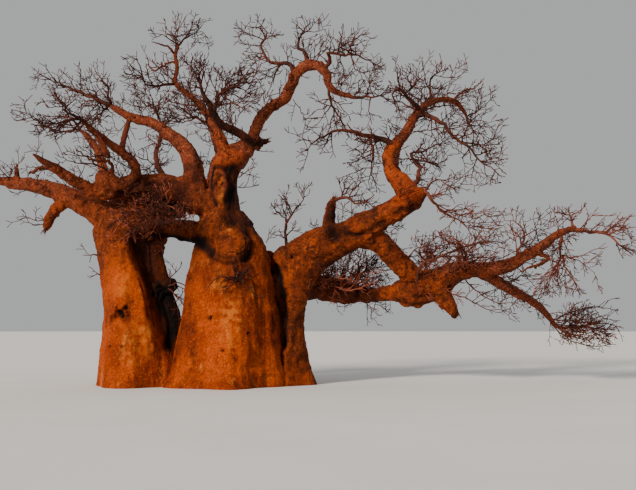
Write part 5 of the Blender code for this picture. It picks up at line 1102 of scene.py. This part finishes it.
def bark_shapes(name, members):
    """The shapes that a piece's skin covers, its middle lines, its thin ends and its torn ends."""
    rng = np.random.default_rng(len(name))
    shapes, lines, thin, torn = [], [], [], []
    for member in members:
        if member in STEMS:
            shapes.append(stem_shape(*STEMS[member]))
            lines.append(stem_line(STEMS[member][0]))
        for number, axis in enumerate(BOUGHS.get(member, [])):
            path = limb_path(axis)
            lines.append(path)
            if is_broken(member, number, path):
                torn.append((path[-1][:3], "break", 2.0 * path[-1][3], 1.0))
            stout = [index for index, point in enumerate(path) if point[3] >= THIN]
            last = stout[-1] if stout else 0
            if len(stout) > 1:
                shapes.append(limb_shape(flared(path[:last + 1], 0.0 if member in UNFLARED else FLARE)))
            if last < len(path) - 1:
                thin.append(limb_shape(crooked(path[last:], rng, *THIN_SWAY), THIN_SIDES))
    for link in LINKS.get(name, []):
        lines.append(limb_path(link))
        shapes.append(limb_shape(lines[-1]))
    for right, height, depth, radius, tall in SWELLINGS.get(name, []):
        place = np.array(at(right, height, depth))
        shapes.append(limb_shape([(*(place + (0.0, 0.0, offset)), radius) for offset in (-tall, tall)]))
    return shapes, lines, thin, torn


def bark_piece(name, members, step):
    """The skin of some stems and boughs, with relief, marks and the thin ends as tubes of their own."""
    shapes, lines, thin, marks = bark_shapes(name, members)
    mesh = skin_mesh(name, shapes, step)
    points = read(mesh.vertices, "co", 3).astype(float)
    normals = read(mesh.vertex_normals, "vector", 3).astype(float)
    edges = read(mesh.edges, "vertices", 2, np.int32)
    corners = read(mesh.loops, "vertex_index", 1, np.int32)
    sizes, ways = limb_measures(points, lines)
    sizes = evened(sizes, edges)[:, 0]
    squares = evened(ways ** 2, edges)
    ways = np.sqrt(squares / squares.sum(axis=1)[:, None])
    smooth = smooth_step(*HIDE_SIZES, sizes)
    smooth = smooth * smooth_step(*HIDE_HEIGHTS, points[:, 2] + 0.5 * cloud_noise(points, 5, 2))
    lift, groove = bark_relief(points, sizes, ways, 1.0 - smooth)
    # Layers the material reads: painted shade with dark stains, scar colour, pale wood with painted
    # highlight, painted shade in the fine creases, the smooth hide, and how stout the limb is
    looks = {"hollow": np.zeros(len(points)), "scar": np.zeros(len(points)), "bare": np.zeros(len(points)),
             "painted_crease_shade": smooth_step(0.001, -0.016, groove / np.minimum(1.0, sizes / 0.25 + 0.25)),
             "smooth": smooth, "stout": smooth_step(0.05, 0.16, sizes)}
    faces = BVHTree.FromPolygons(points.tolist(), corners.reshape(-1, 4).tolist())
    for right, height, kind, radius, tall in FRONT_MARKS.get(name, []):
        marks += [(place, kind, radius, tall) for place in on_bark(faces, [(right, height)])]
    marks += scattered_marks(points, normals, sizes, len(name))
    add_marks(points, marks, lift, looks)
    # Creases darkened with painted shade, and bands of painted shade on shaded flanks
    for deep, wide, dark, line in GROOVES.get(name, []):
        add_groove(points, on_bark(faces, finer_line(line)), deep, wide, dark, lift, looks["hollow"])
    if name == "west_bark":
        add_fold(points, normals, lift)
    lift *= FOOT_LIFT + (1.0 - FOOT_LIFT) * smooth_step(-0.05, 0.5, points[:, 2])
    points += normals * lift[:, None]
    mesh.vertices.foreach_set("co", points.astype(np.float32).ravel())
    for layer, values in looks.items():
        mesh.attributes.new(layer, "FLOAT", "POINT").data.foreach_set("value", values.astype(np.float32))
    finish_bark(mesh, thin)
    mesh.shade_smooth()
    return placed(name, mesh)


def guide_path(line, start_radius, start_depth, end_depth, root=None):
    """A mass's own stem or fork: it tapers, and its depth changes evenly, from its root to its tip."""
    shares = lengths_along(np.array(line))
    knots = []
    for (right, height), share in zip(line, shares / shares[-1]):
        radius = start_radius + (TWIG_TIP - start_radius) * share ** TAPER
        knots.append((*at(right, height, start_depth + (end_depth - start_depth) * share), radius))
    if root is not None:
        knots[0] = (*root[:3], start_radius)
    return smooth_path(knots, RING_STEP, 2.0 * SHORTEST_STEP)


def nearest_on(path, right, height):
    """The point of the path, with its radius, that lies nearest to a place as it is seen."""
    points = [start * (1.0 - share) + end * share
              for start, end in zip(path, path[1:]) for share in np.linspace(0.0, 1.0, SHARES_TRIED)]
    return min(points, key=lambda point: (Vector(point[:3]) - at(right, height, point[1])).length)


def gaps_to(places, capsules):
    starts, spans = capsules[:, :3], capsules[:, 3:6] - capsules[:, :3]
    offsets = places[:, None] - starts
    share = np.einsum("pij,ij->pi", offsets, spans) / np.einsum("ij,ij->i", spans, spans)
    nearest = offsets - np.clip(share, 0.0, 1.0)[..., None] * spans
    return np.linalg.norm(nearest, axis=2) - capsules[:, 6]


class Space:
    """The space that the limbs take, and the twigs of each mass grown so far."""

    def __init__(self):
        self.capsules = []
        for sections, *_ in STEMS.values():
            middle = [(*at(0.5 * (left + right), height, depth), STEM_HALF_SHARE * (right - left))
                      for height, left, right, depth, _ in sections]
            self.fill(np.array(middle), "stems")
        for axis in itertools.chain(*BOUGHS.values()):
            self.fill(smooth_path(knots_of(axis), RING_STEP, SHORTEST_STEP), "boughs")
        self.limbs = np.array([capsule[:7] for capsule in self.capsules])

    def fill(self, path, owner):
        for start, end in zip(path, path[1:]):
            self.capsules.append((*start[:3], *end[:3], max(start[3], end[3]), owner))

    def is_clear(self, path, owner):
        """Whether a twig keeps clear of the limbs, and of the twigs of other masses."""
        capsules = np.array([capsule[:7] for capsule in self.capsules if capsule[7] != owner])
        for before, point in zip(path, path[1:]):
            for place in (0.5 * (before[:3] + point[:3]), point[:3]):
                if gaps_to(place[None], capsules).min() - point[3] < TWIG_CLEARANCE:
                    return False
        return True

    def far_from_limbs(self, places):
        """Which of the places lie outside every stem and bough."""
        clear = np.empty(len(places), dtype=bool)
        for low in range(0, len(places), AT_ONCE):
            clear[low:low + AT_ONCE] = gaps_to(places[low:low + AT_ONCE], self.limbs).min(axis=1) > 0.0
        return clear


def crooked_twig(start, heading, length, radius, bends, rng):
    """A tapering twig that turns left and right at its joints."""
    anywhere = Vector((rng.uniform(-1, 1), rng.uniform(-1, 1), rng.uniform(-1, 1)))
    side = heading.cross(anywhere).normalized()
    path = [np.array((*start, radius))]
    place = Vector(start)
    for joint in range(1, bends + 1):
        turn = KINK * rng.uniform(*KINKS) * (1 if joint % 2 else -1)
        heading = Matrix.Rotation(turn, 3, side) @ heading
        place = place + heading * (length / bends)
        path.append(np.array((*place, radius + (TWIG_TIP - radius) * joint / bends)))
    return path


def side_twigs(space, name, line, spacing, reach, bends, room, first_turn):
    """The twigs that leave one line by turns round it, each inside the mass's room and clear of limbs."""
    lengths = lengths_along(np.array(line))
    count = int(lengths[-1] / spacing)
    grown = []
    for number in range(count):
        along = lengths[-1] * (number + FIRST_TWIG) / (count + PAST_LAST_TWIG)
        segment = min(int(np.searchsorted(lengths, along, side="right")) - 1, len(line) - 2)
        share = (along - lengths[segment]) / (lengths[segment + 1] - lengths[segment])
        site = line[segment] * (1.0 - share) + line[segment + 1] * share
        axis = Vector(line[segment + 1][:3] - line[segment][:3]).normalized()
        rng = random.Random(f"{name} {first_turn} {number}")
        for attempt in range(TRIES):
            turn = first_turn + GOLDEN_TURN * (number + TRY_TURN * attempt)
            outward = Matrix.Rotation(turn, 3, axis) @ axis.orthogonal().normalized()
            heading = axis * math.cos(LEAVING_ANGLE) + outward * math.sin(LEAVING_ANGLE)
            length = reach * rng.uniform(*LENGTHS) * (1.0 - LOSS_TO_TIP * along / lengths[-1])
            length *= TRY_LENGTH ** attempt
            radius = min(TWIG_ROOT_SHARE * site[3], TWIG_ROOT)
            twig = crooked_twig(site[:3], heading, length, radius, bends, rng)
            inside = all(np.all(room[0] <= point[:3]) and np.all(point[:3] <= room[1]) for point in twig)
            if inside and space.is_clear(twig, name):
                grown.append(twig)
                break
    return grown


def main_twigs(space, name, radius, depths, reach, axis, forks):
    """A mass's stem with its forks, and the twigs that the solids have too."""
    stem = guide_path(axis, radius, *depths)
    lines = [stem]
    for line, tip_depth in forks:
        root = nearest_on(stem, *line[0])
        lines.append(guide_path(line, FORK_SHARE * root[3], root[1], tip_depth, root))
    corners = np.array([point[:3] for line in lines for point in line])
    room = (corners.min(axis=0) - SPACE_SHARE * reach, corners.max(axis=0) + SPACE_SHARE * reach)
    room[0][2] = max(room[0][2], BURIED)
    twigs = []
    for number, line in enumerate(lines):
        twigs += side_twigs(space, name, line, TWIG_SPACING, reach, TWIG_BENDS, room, float(number))
    for number, twig in enumerate(list(twigs)):
        twigs += side_twigs(space, name, twig, SIDE_TWIG_SPACING_SHARE * reach, SIDE_TWIG_SHARE * reach, 1,
                            room, 10.0 + number)
    for path in [*lines, *twigs]:
        space.fill(path, name)
    return lines, twigs


def sites_at(points, lengths, along):
    """The points of a path at these lengths along it, and the way it runs there."""
    sites = np.stack([np.interp(along, lengths, column) for column in points.T], axis=1)
    segment = np.clip(np.searchsorted(lengths, along) - 1, 0, len(points) - 2)
    return sites, unit(points[segment + 1, :3] - points[segment, :3])


def shoots(places, ways, outward, rank, rng, centre):
    """Crooked twigs of one rank from some places: each leans away from its line and from the centre."""
    _, longest, bends, root_radius, angles, kink = FINE_RANKS[rank]
    count = len(places)
    angles = np.radians(rng.uniform(*angles, count))[:, None]
    away = unit(places[:, :3] - centre)
    turned = (np.einsum("ij,ij->i", outward, away) < INWARD)[:, None]
    outward = np.where(turned & (rng.uniform(size=(count, 1)) < TURNED_SHARE), -outward, outward)
    heading = unit(ways * np.cos(angles) + outward * np.sin(angles) + AWAY * away + (0.0, 0.0, RISE))
    side = unit(np.cross(heading, rng.normal(size=(count, 3))))
    lengths = longest * rng.uniform(*FINE_LENGTHS, count)
    radii = np.minimum(ROOT_SHARE * places[:, 3], root_radius)
    paths = np.empty((count, bends + 1, 4))
    paths[:, 0] = np.column_stack([places[:, :3], radii])
    for joint in range(1, bends + 1):
        turn = kink * rng.uniform(*FINE_KINKS, count)[:, None] * (1 if joint % 2 else -1)
        heading = heading * np.cos(turn) + np.cross(side, heading) * np.sin(turn)
        side = unit(side + SIDE_SWAY * rng.normal(size=(count, 3)))
        side = unit(side - heading * np.einsum("ij,ij->i", side, heading)[:, None])
        paths[:, joint, :3] = paths[:, joint - 1, :3] + heading * (lengths / bends)[:, None]
        paths[:, joint, 3] = radii + (FINE_TIP - radii) * joint / bends
    return paths


def fine_twigs(lines, rank, density, rng, centre):
    """Twigs of one rank along all the lines."""
    spacing = FINE_RANKS[rank][0] / density
    found = [(np.empty((0, 4)), np.empty((0, 3)))]
    for line in lines:
        line = np.asarray(line)
        lengths = lengths_along(line)
        count = int(lengths[-1] / spacing + rng.uniform(0.0, 1.0))
        if count:
            along = lengths[-1] * (np.arange(count) + rng.uniform(0.25, 0.95, count)) / count
            found.append(sites_at(line, lengths, along))
    places, ways = (np.concatenate(part) for part in zip(*found))
    outward = unit(np.cross(ways, rng.normal(size=ways.shape)))
    return shoots(places, ways, outward, rank, rng, centre)


def end_forks(paths, rng, centre):
    """Two short twigs that part at the end of each twig."""
    ways = unit(paths[:, -1, :3] - paths[:, -2, :3])
    outward = unit(np.cross(ways, rng.normal(size=ways.shape)))
    return shoots(np.concatenate([paths[:, -1], paths[:, -1]]), np.concatenate([ways, ways]),
                  np.concatenate([outward, -outward]), "fork", rng, centre)


def kept(paths, room, space, rng=None):
    """The twigs that stay in the room and outside the limbs: one that doesn't is made shorter."""
    low, high = room
    roots = paths[:, :1, :3]
    if rng is not None:
        inset = SOFT_ROOM * rng.uniform(size=(len(paths), 1, 1)) ** 2
        low = np.minimum(low + inset, roots - ROOT_ROOM)
        high = np.maximum(high - inset, roots + ROOT_ROOM)

    def outside():
        return ~np.all((paths[:, :, :3] >= low) & (paths[:, :, :3] <= high), axis=(1, 2))

    for _ in range(SHORTENINGS):
        beyond = outside()
        paths[beyond, :, :3] = roots[beyond] + SHORTENED * (paths[beyond, :, :3] - roots[beyond])
    paths = paths[~outside()]
    return paths[space.far_from_limbs(paths[:, -1, :3])]


def with_tips(sticks, finer, density, room, space, rng, centre):
    """Batches of finer twigs, and the thinnest ones along all the twigs and in pairs at their ends."""
    ends = np.array([stick[-2:] for stick in sticks]).reshape(-1, 2, 4)
    tips = [fine_twigs([*sticks, *itertools.chain(*finer)], "tip", density, rng, centre)]
    tips += [end_forks(paths, rng, centre) for paths in (*finer, ends)]
    return [(paths, FINE_SIDES) for paths in (*finer, kept(np.concatenate(tips), room, space))]


def tubes(paths, sides):
    """Points and faces of many closed tubes that have the same number of points."""
    count, steps = paths.shape[:2]
    ways = unit(np.gradient(paths[:, :, :3], axis=1))
    chord = unit(paths[:, -1, :3] - paths[:, 0, :3])
    least = np.eye(3)[np.argmin(np.abs(chord), axis=1)]
    first = unit(np.cross(ways, least[:, None]))
    second = np.cross(ways, first)
    angles = math.tau * np.arange(sides) / sides
    ring = np.cos(angles)[:, None] * first[:, :, None] + np.sin(angles)[:, None] * second[:, :, None]
    points = (paths[:, :, None, :3] + paths[:, :, None, 3:4] * ring).reshape(-1, 3)
    base = (np.arange(count) * steps * sides)[:, None, None]
    rows = base + (np.arange(steps - 1) * sides)[None, :, None]
    low = rows + np.arange(sides)
    turned = rows + (np.arange(sides) + 1) % sides
    walls = np.stack([low, turned, turned + sides, low + sides], axis=3).reshape(-1, 4)
    roots = base[:, 0] + np.arange(sides)[::-1]
    tips = base[:, 0] + (steps - 1) * sides + np.arange(sides)
    return points, walls, np.concatenate([roots, tips])


def mesh_of_tubes(name, batches):
    """One piece of all the batches of twigs, each batch with its own number of sides."""
    points, corners, sizes = [], [], []
    start = 0
    for paths, sides in batches:
        if not len(paths):
            continue
        made, walls, caps = tubes(np.asarray(paths), sides)
        points.append(made)
        corners += [start + walls.ravel(), start + caps.ravel()]
        sizes += [np.full(len(walls), 4), np.full(len(caps), sides)]
        start += len(made)
    points, corners, sizes = np.concatenate(points), np.concatenate(corners), np.concatenate(sizes)
    mesh = bpy.data.meshes.new(name)
    mesh.vertices.add(len(points))
    mesh.vertices.foreach_set("co", points.astype(np.float32).ravel())
    mesh.loops.add(len(corners))
    mesh.loops.foreach_set("vertex_index", corners.astype(np.int32))
    mesh.polygons.add(len(sizes))
    mesh.polygons.foreach_set("loop_start", np.concatenate([[0], np.cumsum(sizes)[:-1]]).astype(np.int32))
    mesh.update(calc_edges=True)
    mesh.validate()
    mesh.shade_smooth()
    return placed(name, mesh)


def twig_piece(name, masses, grown, space, seed):
    """All the twigs of some masses: the ones the solids have, and finer ones that grow on from them."""
    rng = np.random.default_rng(seed)
    batches = []
    for mass in masses:
        lines, twigs = grown[mass]
        low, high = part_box(mass)
        room = (np.maximum(np.array(low) - FINE_MARGIN, CROWN_ROOM[0]),
                np.minimum(np.array(high) + FINE_MARGIN, CROWN_ROOM[1]))
        density = DENSITY.get(mass, 1.0)
        centre = lines[0][0][:3]
        guides = [crooked(line, rng, *GUIDE_SWAY) for line in lines]
        sticks = [crooked(twig, rng, *STICK_SWAY) * (1.0, 1.0, 1.0, STICK_SHARE) for twig in twigs]
        side = kept(fine_twigs(guides, "side", density, rng, centre), room, space, rng)
        small = kept(fine_twigs([*sticks, *side], "small", density, rng, centre), room, space, rng)
        batches += [(guide[None], GUIDE_SIDES) for guide in guides]
        batches += [(stick[None], STICK_SIDES) for stick in sticks]
        batches += with_tips(sticks, (side, small), density, room, space, rng, centre)
    return mesh_of_tubes(name, batches)


def whiskers(axis, sizes, upward, rng, frontward=False):
    """Twigs that leave a limb's own surface, between two shares of its length."""
    first, last, spacing, longest = sizes
    points = np.array(limb_path(axis))
    lengths = lengths_along(points)
    count = max(1, int(lengths[-1] * (last - first) / spacing))
    steps = np.arange(count) + rng.uniform(0.1, 0.9, count)
    along = lengths[-1] * (first + (last - first) * steps / count)
    sites, ways = sites_at(points, lengths, along)
    outward = unit(np.cross(ways, rng.normal(size=(count, 3))))
    outward[:, 2] = np.abs(outward[:, 2]) * np.where(rng.uniform(size=count) < upward, 1.0, -1.0)
    if frontward:
        outward[:, 1] = -np.abs(outward[:, 1])
    sticks = []
    for site, way, out in zip(sites, ways, outward):
        start = Vector(site[:3] + out * WHISKER_SUNK * site[3])
        heading = Vector(unit(out + way * rng.uniform(*WHISKER_LEANS) + (0.0, 0.0, WHISKER_RISE)))
        seed = random.Random(int(rng.integers(1 << 30)))
        length = SHORTEST_WHISKER + (longest - SHORTEST_WHISKER) * rng.uniform() ** 1.5
        sticks.append(crooked_twig(start, heading, length, WHISKER_ROOT, WHISKER_BENDS, seed))
    return sticks


def limb_twigs(rng):
    """Small twigs straight from the limbs."""
    return [stick for bough, sizes in WHISKERS.items()
            for stick in whiskers(BOUGHS[bough][0], sizes, HANGING.get(bough, WHISKERS_UP), rng)]


def sunlit_twigs(rng):
    """Small twigs on the front of the dark limbs."""
    lines = [(BOUGHS[bough][0], sizes) for bough, sizes in SUNLIT_WHISKERS.items()]
    lines += [(LINKS[piece][number], sizes) for piece, number, sizes in SUNLIT_LINKS]
    return [stick for axis, sizes in lines for stick in whiskers(axis, sizes, SUNLIT_UP, rng, True)]


def stick_piece(name, space, grow, loose, seed):
    """Some sticks and a few long loose ones that hang or stand alone, with finer twigs on all of them."""
    rng = np.random.default_rng(seed)
    sticks = grow(rng)
    for radius, line in loose:
        shares = np.arange(len(line)) / (len(line) - 1)
        knots = [(*at(*place), radius + (FINE_TIP - radius) * share) for place, share in zip(line, shares)]
        sticks.append(crooked(smooth_path(knots, 0.0, LOOSE_STEP), rng, *LOOSE_SWAY))
    centre = np.array((0.0, 0.0, CROWN_FOOT))
    small = kept(fine_twigs(sticks, "small", 1.0, rng, centre), CROWN_ROOM, space)
    batches = [(np.array(stick)[None], LOOSE_SIDES) for stick in sticks]
    batches += with_tips(sticks, (small,), LOOSE_TIP_DENSITY, CROWN_ROOM, space, rng, centre)
    return mesh_of_tubes(name, batches)


def splinter_piece(name, seed):
    """Torn splinters of bare wood at the limbs' broken ends."""
    rng = np.random.default_rng(seed)
    paths = []
    for bough, axes in BOUGHS.items():
        for number, axis in enumerate(axes):
            path = np.array(limb_path(axis))
            if not is_broken(bough, number, path):
                continue
            radius = path[-1, 3]
            way = unit(path[-1, :3] - path[-3, :3])
            for _ in range(SPLINTERS):
                aside = np.cross(way, unit(rng.normal(size=3)))
                start = path[-1, :3] + aside * radius * rng.uniform(*SPLINTER_PLACES)
                start = start - way * SPLINTER_SUNK * radius
                heading = unit(way + aside * rng.uniform(*SPLINTER_LEANS) + 0.15 * rng.normal(size=3))
                length = radius * rng.uniform(*SPLINTER_LENGTHS)
                thick = rng.uniform(*SPLINTER_RADII)
                paths.append([(*(start + heading * length * share), thick * (1.0 - SPLINTER_TAPER * share))
                              for share in (0.0, 0.5, 1.0)])
    return mesh_of_tubes(name, [(paths, STICK_SIDES)])


def linear(tints):
    """Colours given as they look on a screen, from 0 to 255, as Blender's own linear values."""
    return {name: (*(((value / 255.0 + 0.055) / 1.055) ** 2.4 for value in tint), 1.0)
            for name, tint in tints.items()}


class Nodes:
    """A material's nodes, each made, set and joined up in one call. A tint goes by its name."""

    def __init__(self, name, tints):
        self.tints = linear(tints)
        self.material = bpy.data.materials.new(name)
        self.material.use_nodes = True
        self.tree = self.material.node_tree
        self.shader = self.tree.nodes["Principled BSDF"]
        self.places = self.add("TexCoord", "Object", {})

    def put(self, socket, value):
        if isinstance(value, bpy.types.NodeSocket):
            self.tree.links.new(value, socket)
        else:
            socket.default_value = self.tints[value] if isinstance(value, str) else value

    def add(self, kind, output, inputs, **settings):
        """The output of a new node."""
        node = self.tree.nodes.new("ShaderNode" + kind)
        for name, value in settings.items():
            setattr(node, name, value)
        for name, value in inputs.items():
            self.put(node.inputs[name], value)
        return node.outputs[output]

    def stretched(self, scale):
        return self.add("Mapping", "Vector", {"Vector": self.places, "Scale": scale})

    def noise(self, scale, detail, rough, places=None, bend=0.0):
        return self.add("TexNoise", "Fac", {"Vector": places or self.places, "Scale": scale,
                                            "Detail": detail, "Roughness": rough, "Distortion": bend})

    def spread(self, value, low, high, start=0.0, end=1.0):
        return self.add("MapRange", "Result", {"Value": value, "From Min": low, "From Max": high,
                                               "To Min": start, "To Max": end},
                        interpolation_type="SMOOTHSTEP")

    def along(self, axis, low, high):
        """How far a place lies between two values of one of its coordinates."""
        return self.spread(self.add("SeparateXYZ", axis, {"Vector": self.places}), low, high)

    def value_of(self, layer, most=1.0):
        """One of the values that the mesh holds."""
        value = self.add("Attribute", "Fac", {}, attribute_name=layer)
        return self.math("MULTIPLY", value, most)

    def math(self, operation, first, second):
        return self.add("Math", "Value", {0: first, 1: second}, operation=operation, use_clamp=True)

    def mix(self, colour, *layers):
        """A colour with others laid over it, each by its own share."""
        for share, tint in layers:
            colour = self.add("Mix", "Result", {"Factor": share, "A": colour, "B": tint}, data_type="RGBA")
        return colour

    def finish(self, colour, roughness, bumps):
        """Joins the shader up, with bumps of some depths, each over the one before."""
        bump = {"Strength": 1.0}
        for height, distance in bumps:
            bump.update({"Height": height, "Distance": distance})
            bump["Normal"] = self.add("Bump", "Normal", bump)
        self.put(self.shader.inputs["Base Color"], colour)
        self.put(self.shader.inputs["Roughness"], roughness)
        if bumps:
            self.put(self.shader.inputs["Normal"], bump["Normal"])
            self.shader.inputs["Specular IOR Level"].default_value = BARK_GLOSS
        return self.material


def bark_material(name, tints):
    """Old baobab bark: a smooth orange hide low on the stems, and a dark speckled crust on the limbs, with
    painted shade and painted highlight laid over it from the mesh's layers.
    """
    nodes = Nodes(name, tints)
    spread = nodes.spread
    patches = nodes.noise(0.9, 5.0, 0.6, bend=0.6)
    streaks = nodes.noise(3.2, 5.0, 0.6, nodes.stretched((1.0, 1.0, 0.35)), 0.4)
    specks = nodes.noise(13.0, 6.0, 0.7)
    flecks = nodes.noise(15.0, 5.0, 0.75, nodes.stretched((1.0, 0.8, 1.3)))
    fine = nodes.noise(21.0, 5.0, 0.75)
    cracks = nodes.add("TexVoronoi", "Distance", {"Vector": nodes.stretched((1.0, 1.0, 0.6)), "Scale": 6.0},
                       feature="DISTANCE_TO_EDGE")
    high = nodes.math("MAXIMUM", nodes.along("Z", 4.2, 6.4), nodes.along("X", 6.0, 8.6))
    hide = nodes.mix("red", (spread(patches, 0.38, 0.62), "orange"),
                     (spread(streaks, 0.58, 0.76, 0.0, 0.70), "pale"),
                     (spread(streaks, 0.44, 0.28, 0.0, 0.70), "dark"),
                     (spread(fine, 0.47, 0.32, 0.0, 0.80), "dark"),
                     (spread(fine, 0.54, 0.70, 0.0, 0.75), "pale"))
    crust = nodes.mix("crust", (spread(streaks, 0.46, 0.66), "crust_orange"),
                      (spread(patches, 0.50, 0.36, 0.0, 0.40), "crust_dark"),
                      (spread(specks, 0.48, 0.38, 0.0, 0.85), "crust_dark"),
                      (spread(flecks, 0.54, 0.66, 0.0, 0.60), "crust_light"))
    limb = nodes.mix("limb", (spread(flecks, 0.46, 0.64), "limb_light"))
    crust = nodes.mix(crust, (nodes.math("MULTIPLY", high, 0.78), limb))
    hide = nodes.mix(hide, (nodes.math("MULTIPLY", high, 0.40), limb))
    scar = nodes.math("MULTIPLY", nodes.value_of("scar"), spread(specks, 0.35, 0.6))
    # Laid over the bark: painted shade in the fine creases, pale bare wood with painted highlight, then
    # painted shade with dark stains in holes, grooves and shaded flanks
    colour = nodes.mix(crust, (nodes.value_of("smooth"), hide),
                       (spread(nodes.value_of("stout"), 0.0, 1.0, 0.75, 0.0), "slender"),
                       (nodes.math("MULTIPLY", scar, 0.8), "scar"),
                       (nodes.value_of("painted_crease_shade", 0.6), "painted_crease_shade"), (nodes.value_of("bare", 0.85), "bare"),
                       (nodes.value_of("hollow"), "hollow"))
    bumps = [(nodes.noise(7.0, 4.0, 0.6), 0.050), (cracks, 0.012), (specks, 0.060), (fine, 0.026)]
    return nodes.finish(colour, spread(fine, 0.3, 0.7, 0.94, 0.66), bumps)


def twig_material(name):
    """Thin twigs: reddish brown, a little greyer and darker in places."""
    nodes = Nodes(name, TWIG_TINTS[name])
    broad = nodes.noise(1.6, 4.0, 0.6)
    fine = nodes.noise(38.0, 4.0, 0.65)
    colour = nodes.mix("dark", (nodes.spread(broad, 0.36, 0.64), "red"),
                       (nodes.spread(fine, 0.52, 0.72, 0.0, 0.7), "pale"))
    return nodes.finish(colour, nodes.spread(fine, 0.3, 0.7, 0.92, 0.7), [(fine, 0.004)])


def make_floor():
    """A pale matt floor with a faint unevenness."""
    mesh = bpy.data.meshes.new("floor")
    work = bmesh.new()
    bmesh.ops.create_circle(work, cap_ends=True, radius=FLOOR_RADIUS, segments=FLOOR_SIDES)
    work.to_mesh(mesh)
    work.free()
    floor = placed("floor", mesh)
    nodes = Nodes("pale_floor", FLOOR_TINTS)
    colour = nodes.mix("light", (nodes.noise(0.35, 3.0, 0.5), "dark"))
    floor.data.materials.append(nodes.finish(colour, FLOOR_ROUGHNESS, []))


def make_camera():
    """The camera stands at the viewpoint, tilted up a little at the tree."""
    camera = bpy.data.cameras.new("camera")
    camera.lens = LENS
    camera.sensor_width = SENSOR_WIDTH
    camera.clip_end = CLIP_END
    holder = placed("camera", camera)
    holder.location = EYE
    holder.rotation_euler = (math.radians(90.0) + math.atan2(SIGHT.z, SIGHT.y), 0.0, 0.0)
    bpy.context.scene.camera = holder


def make_light():
    """A broad warm key from low at the front left, a weak fill, and a pale surround."""
    for name, (to_light, strength, colour, spread) in SUNS.items():
        sun = bpy.data.lights.new(name, "SUN")
        sun.energy = strength
        sun.color = colour
        sun.angle = math.radians(spread)
        placed(name, sun).rotation_euler = Vector(to_light).to_track_quat("Z", "Y").to_euler()
    world = bpy.data.worlds.new("studio")
    world.use_nodes = True
    back = world.node_tree.nodes["Background"]
    back.inputs["Color"].default_value = WORLD_COLOUR
    back.inputs["Strength"].default_value = WORLD_STRENGTH
    bpy.context.scene.world = world


def finish(piece, material, replaced=()):
    """Gives a piece its material and its body, and hides the solids that it stands for."""
    piece.data.materials.append(material)
    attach(piece, "root")
    if replaced:
        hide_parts(*replaced)


def main():
    make_camera()
    make_light()
    make_floor()
    bark = bark_material("bark", BARK_TINTS)
    twig_bark = twig_material("twig_bark")
    low_twig_bark = twig_material("low_twig_bark")
    space = Space()
    grown = {mass: main_twigs(space, mass, *plan) for mass, plan in MASSES.items()}
    for name, (step, members) in BARK_PIECES.items():
        finish(bark_piece(name, members, step), bark, members)
    for number, (name, masses) in enumerate(TWIG_PIECES.items()):
        material = low_twig_bark if name == "low_twigs" else twig_bark
        finish(twig_piece(name, masses, grown, space, TWIG_SEED + number), material, masses)
    finish(stick_piece("limb_twigs", space, limb_twigs, LOOSE_TWIGS, LIMB_TWIG_SEED), twig_bark)
    finish(stick_piece("sunlit_twigs", space, sunlit_twigs, SUNLIT_LOOSE, SUNLIT_TWIG_SEED),
           twig_material("sunlit_twig_bark"))
    finish(splinter_piece("splinters", SPLINTER_SEED), twig_material("bare_wood"))


main()
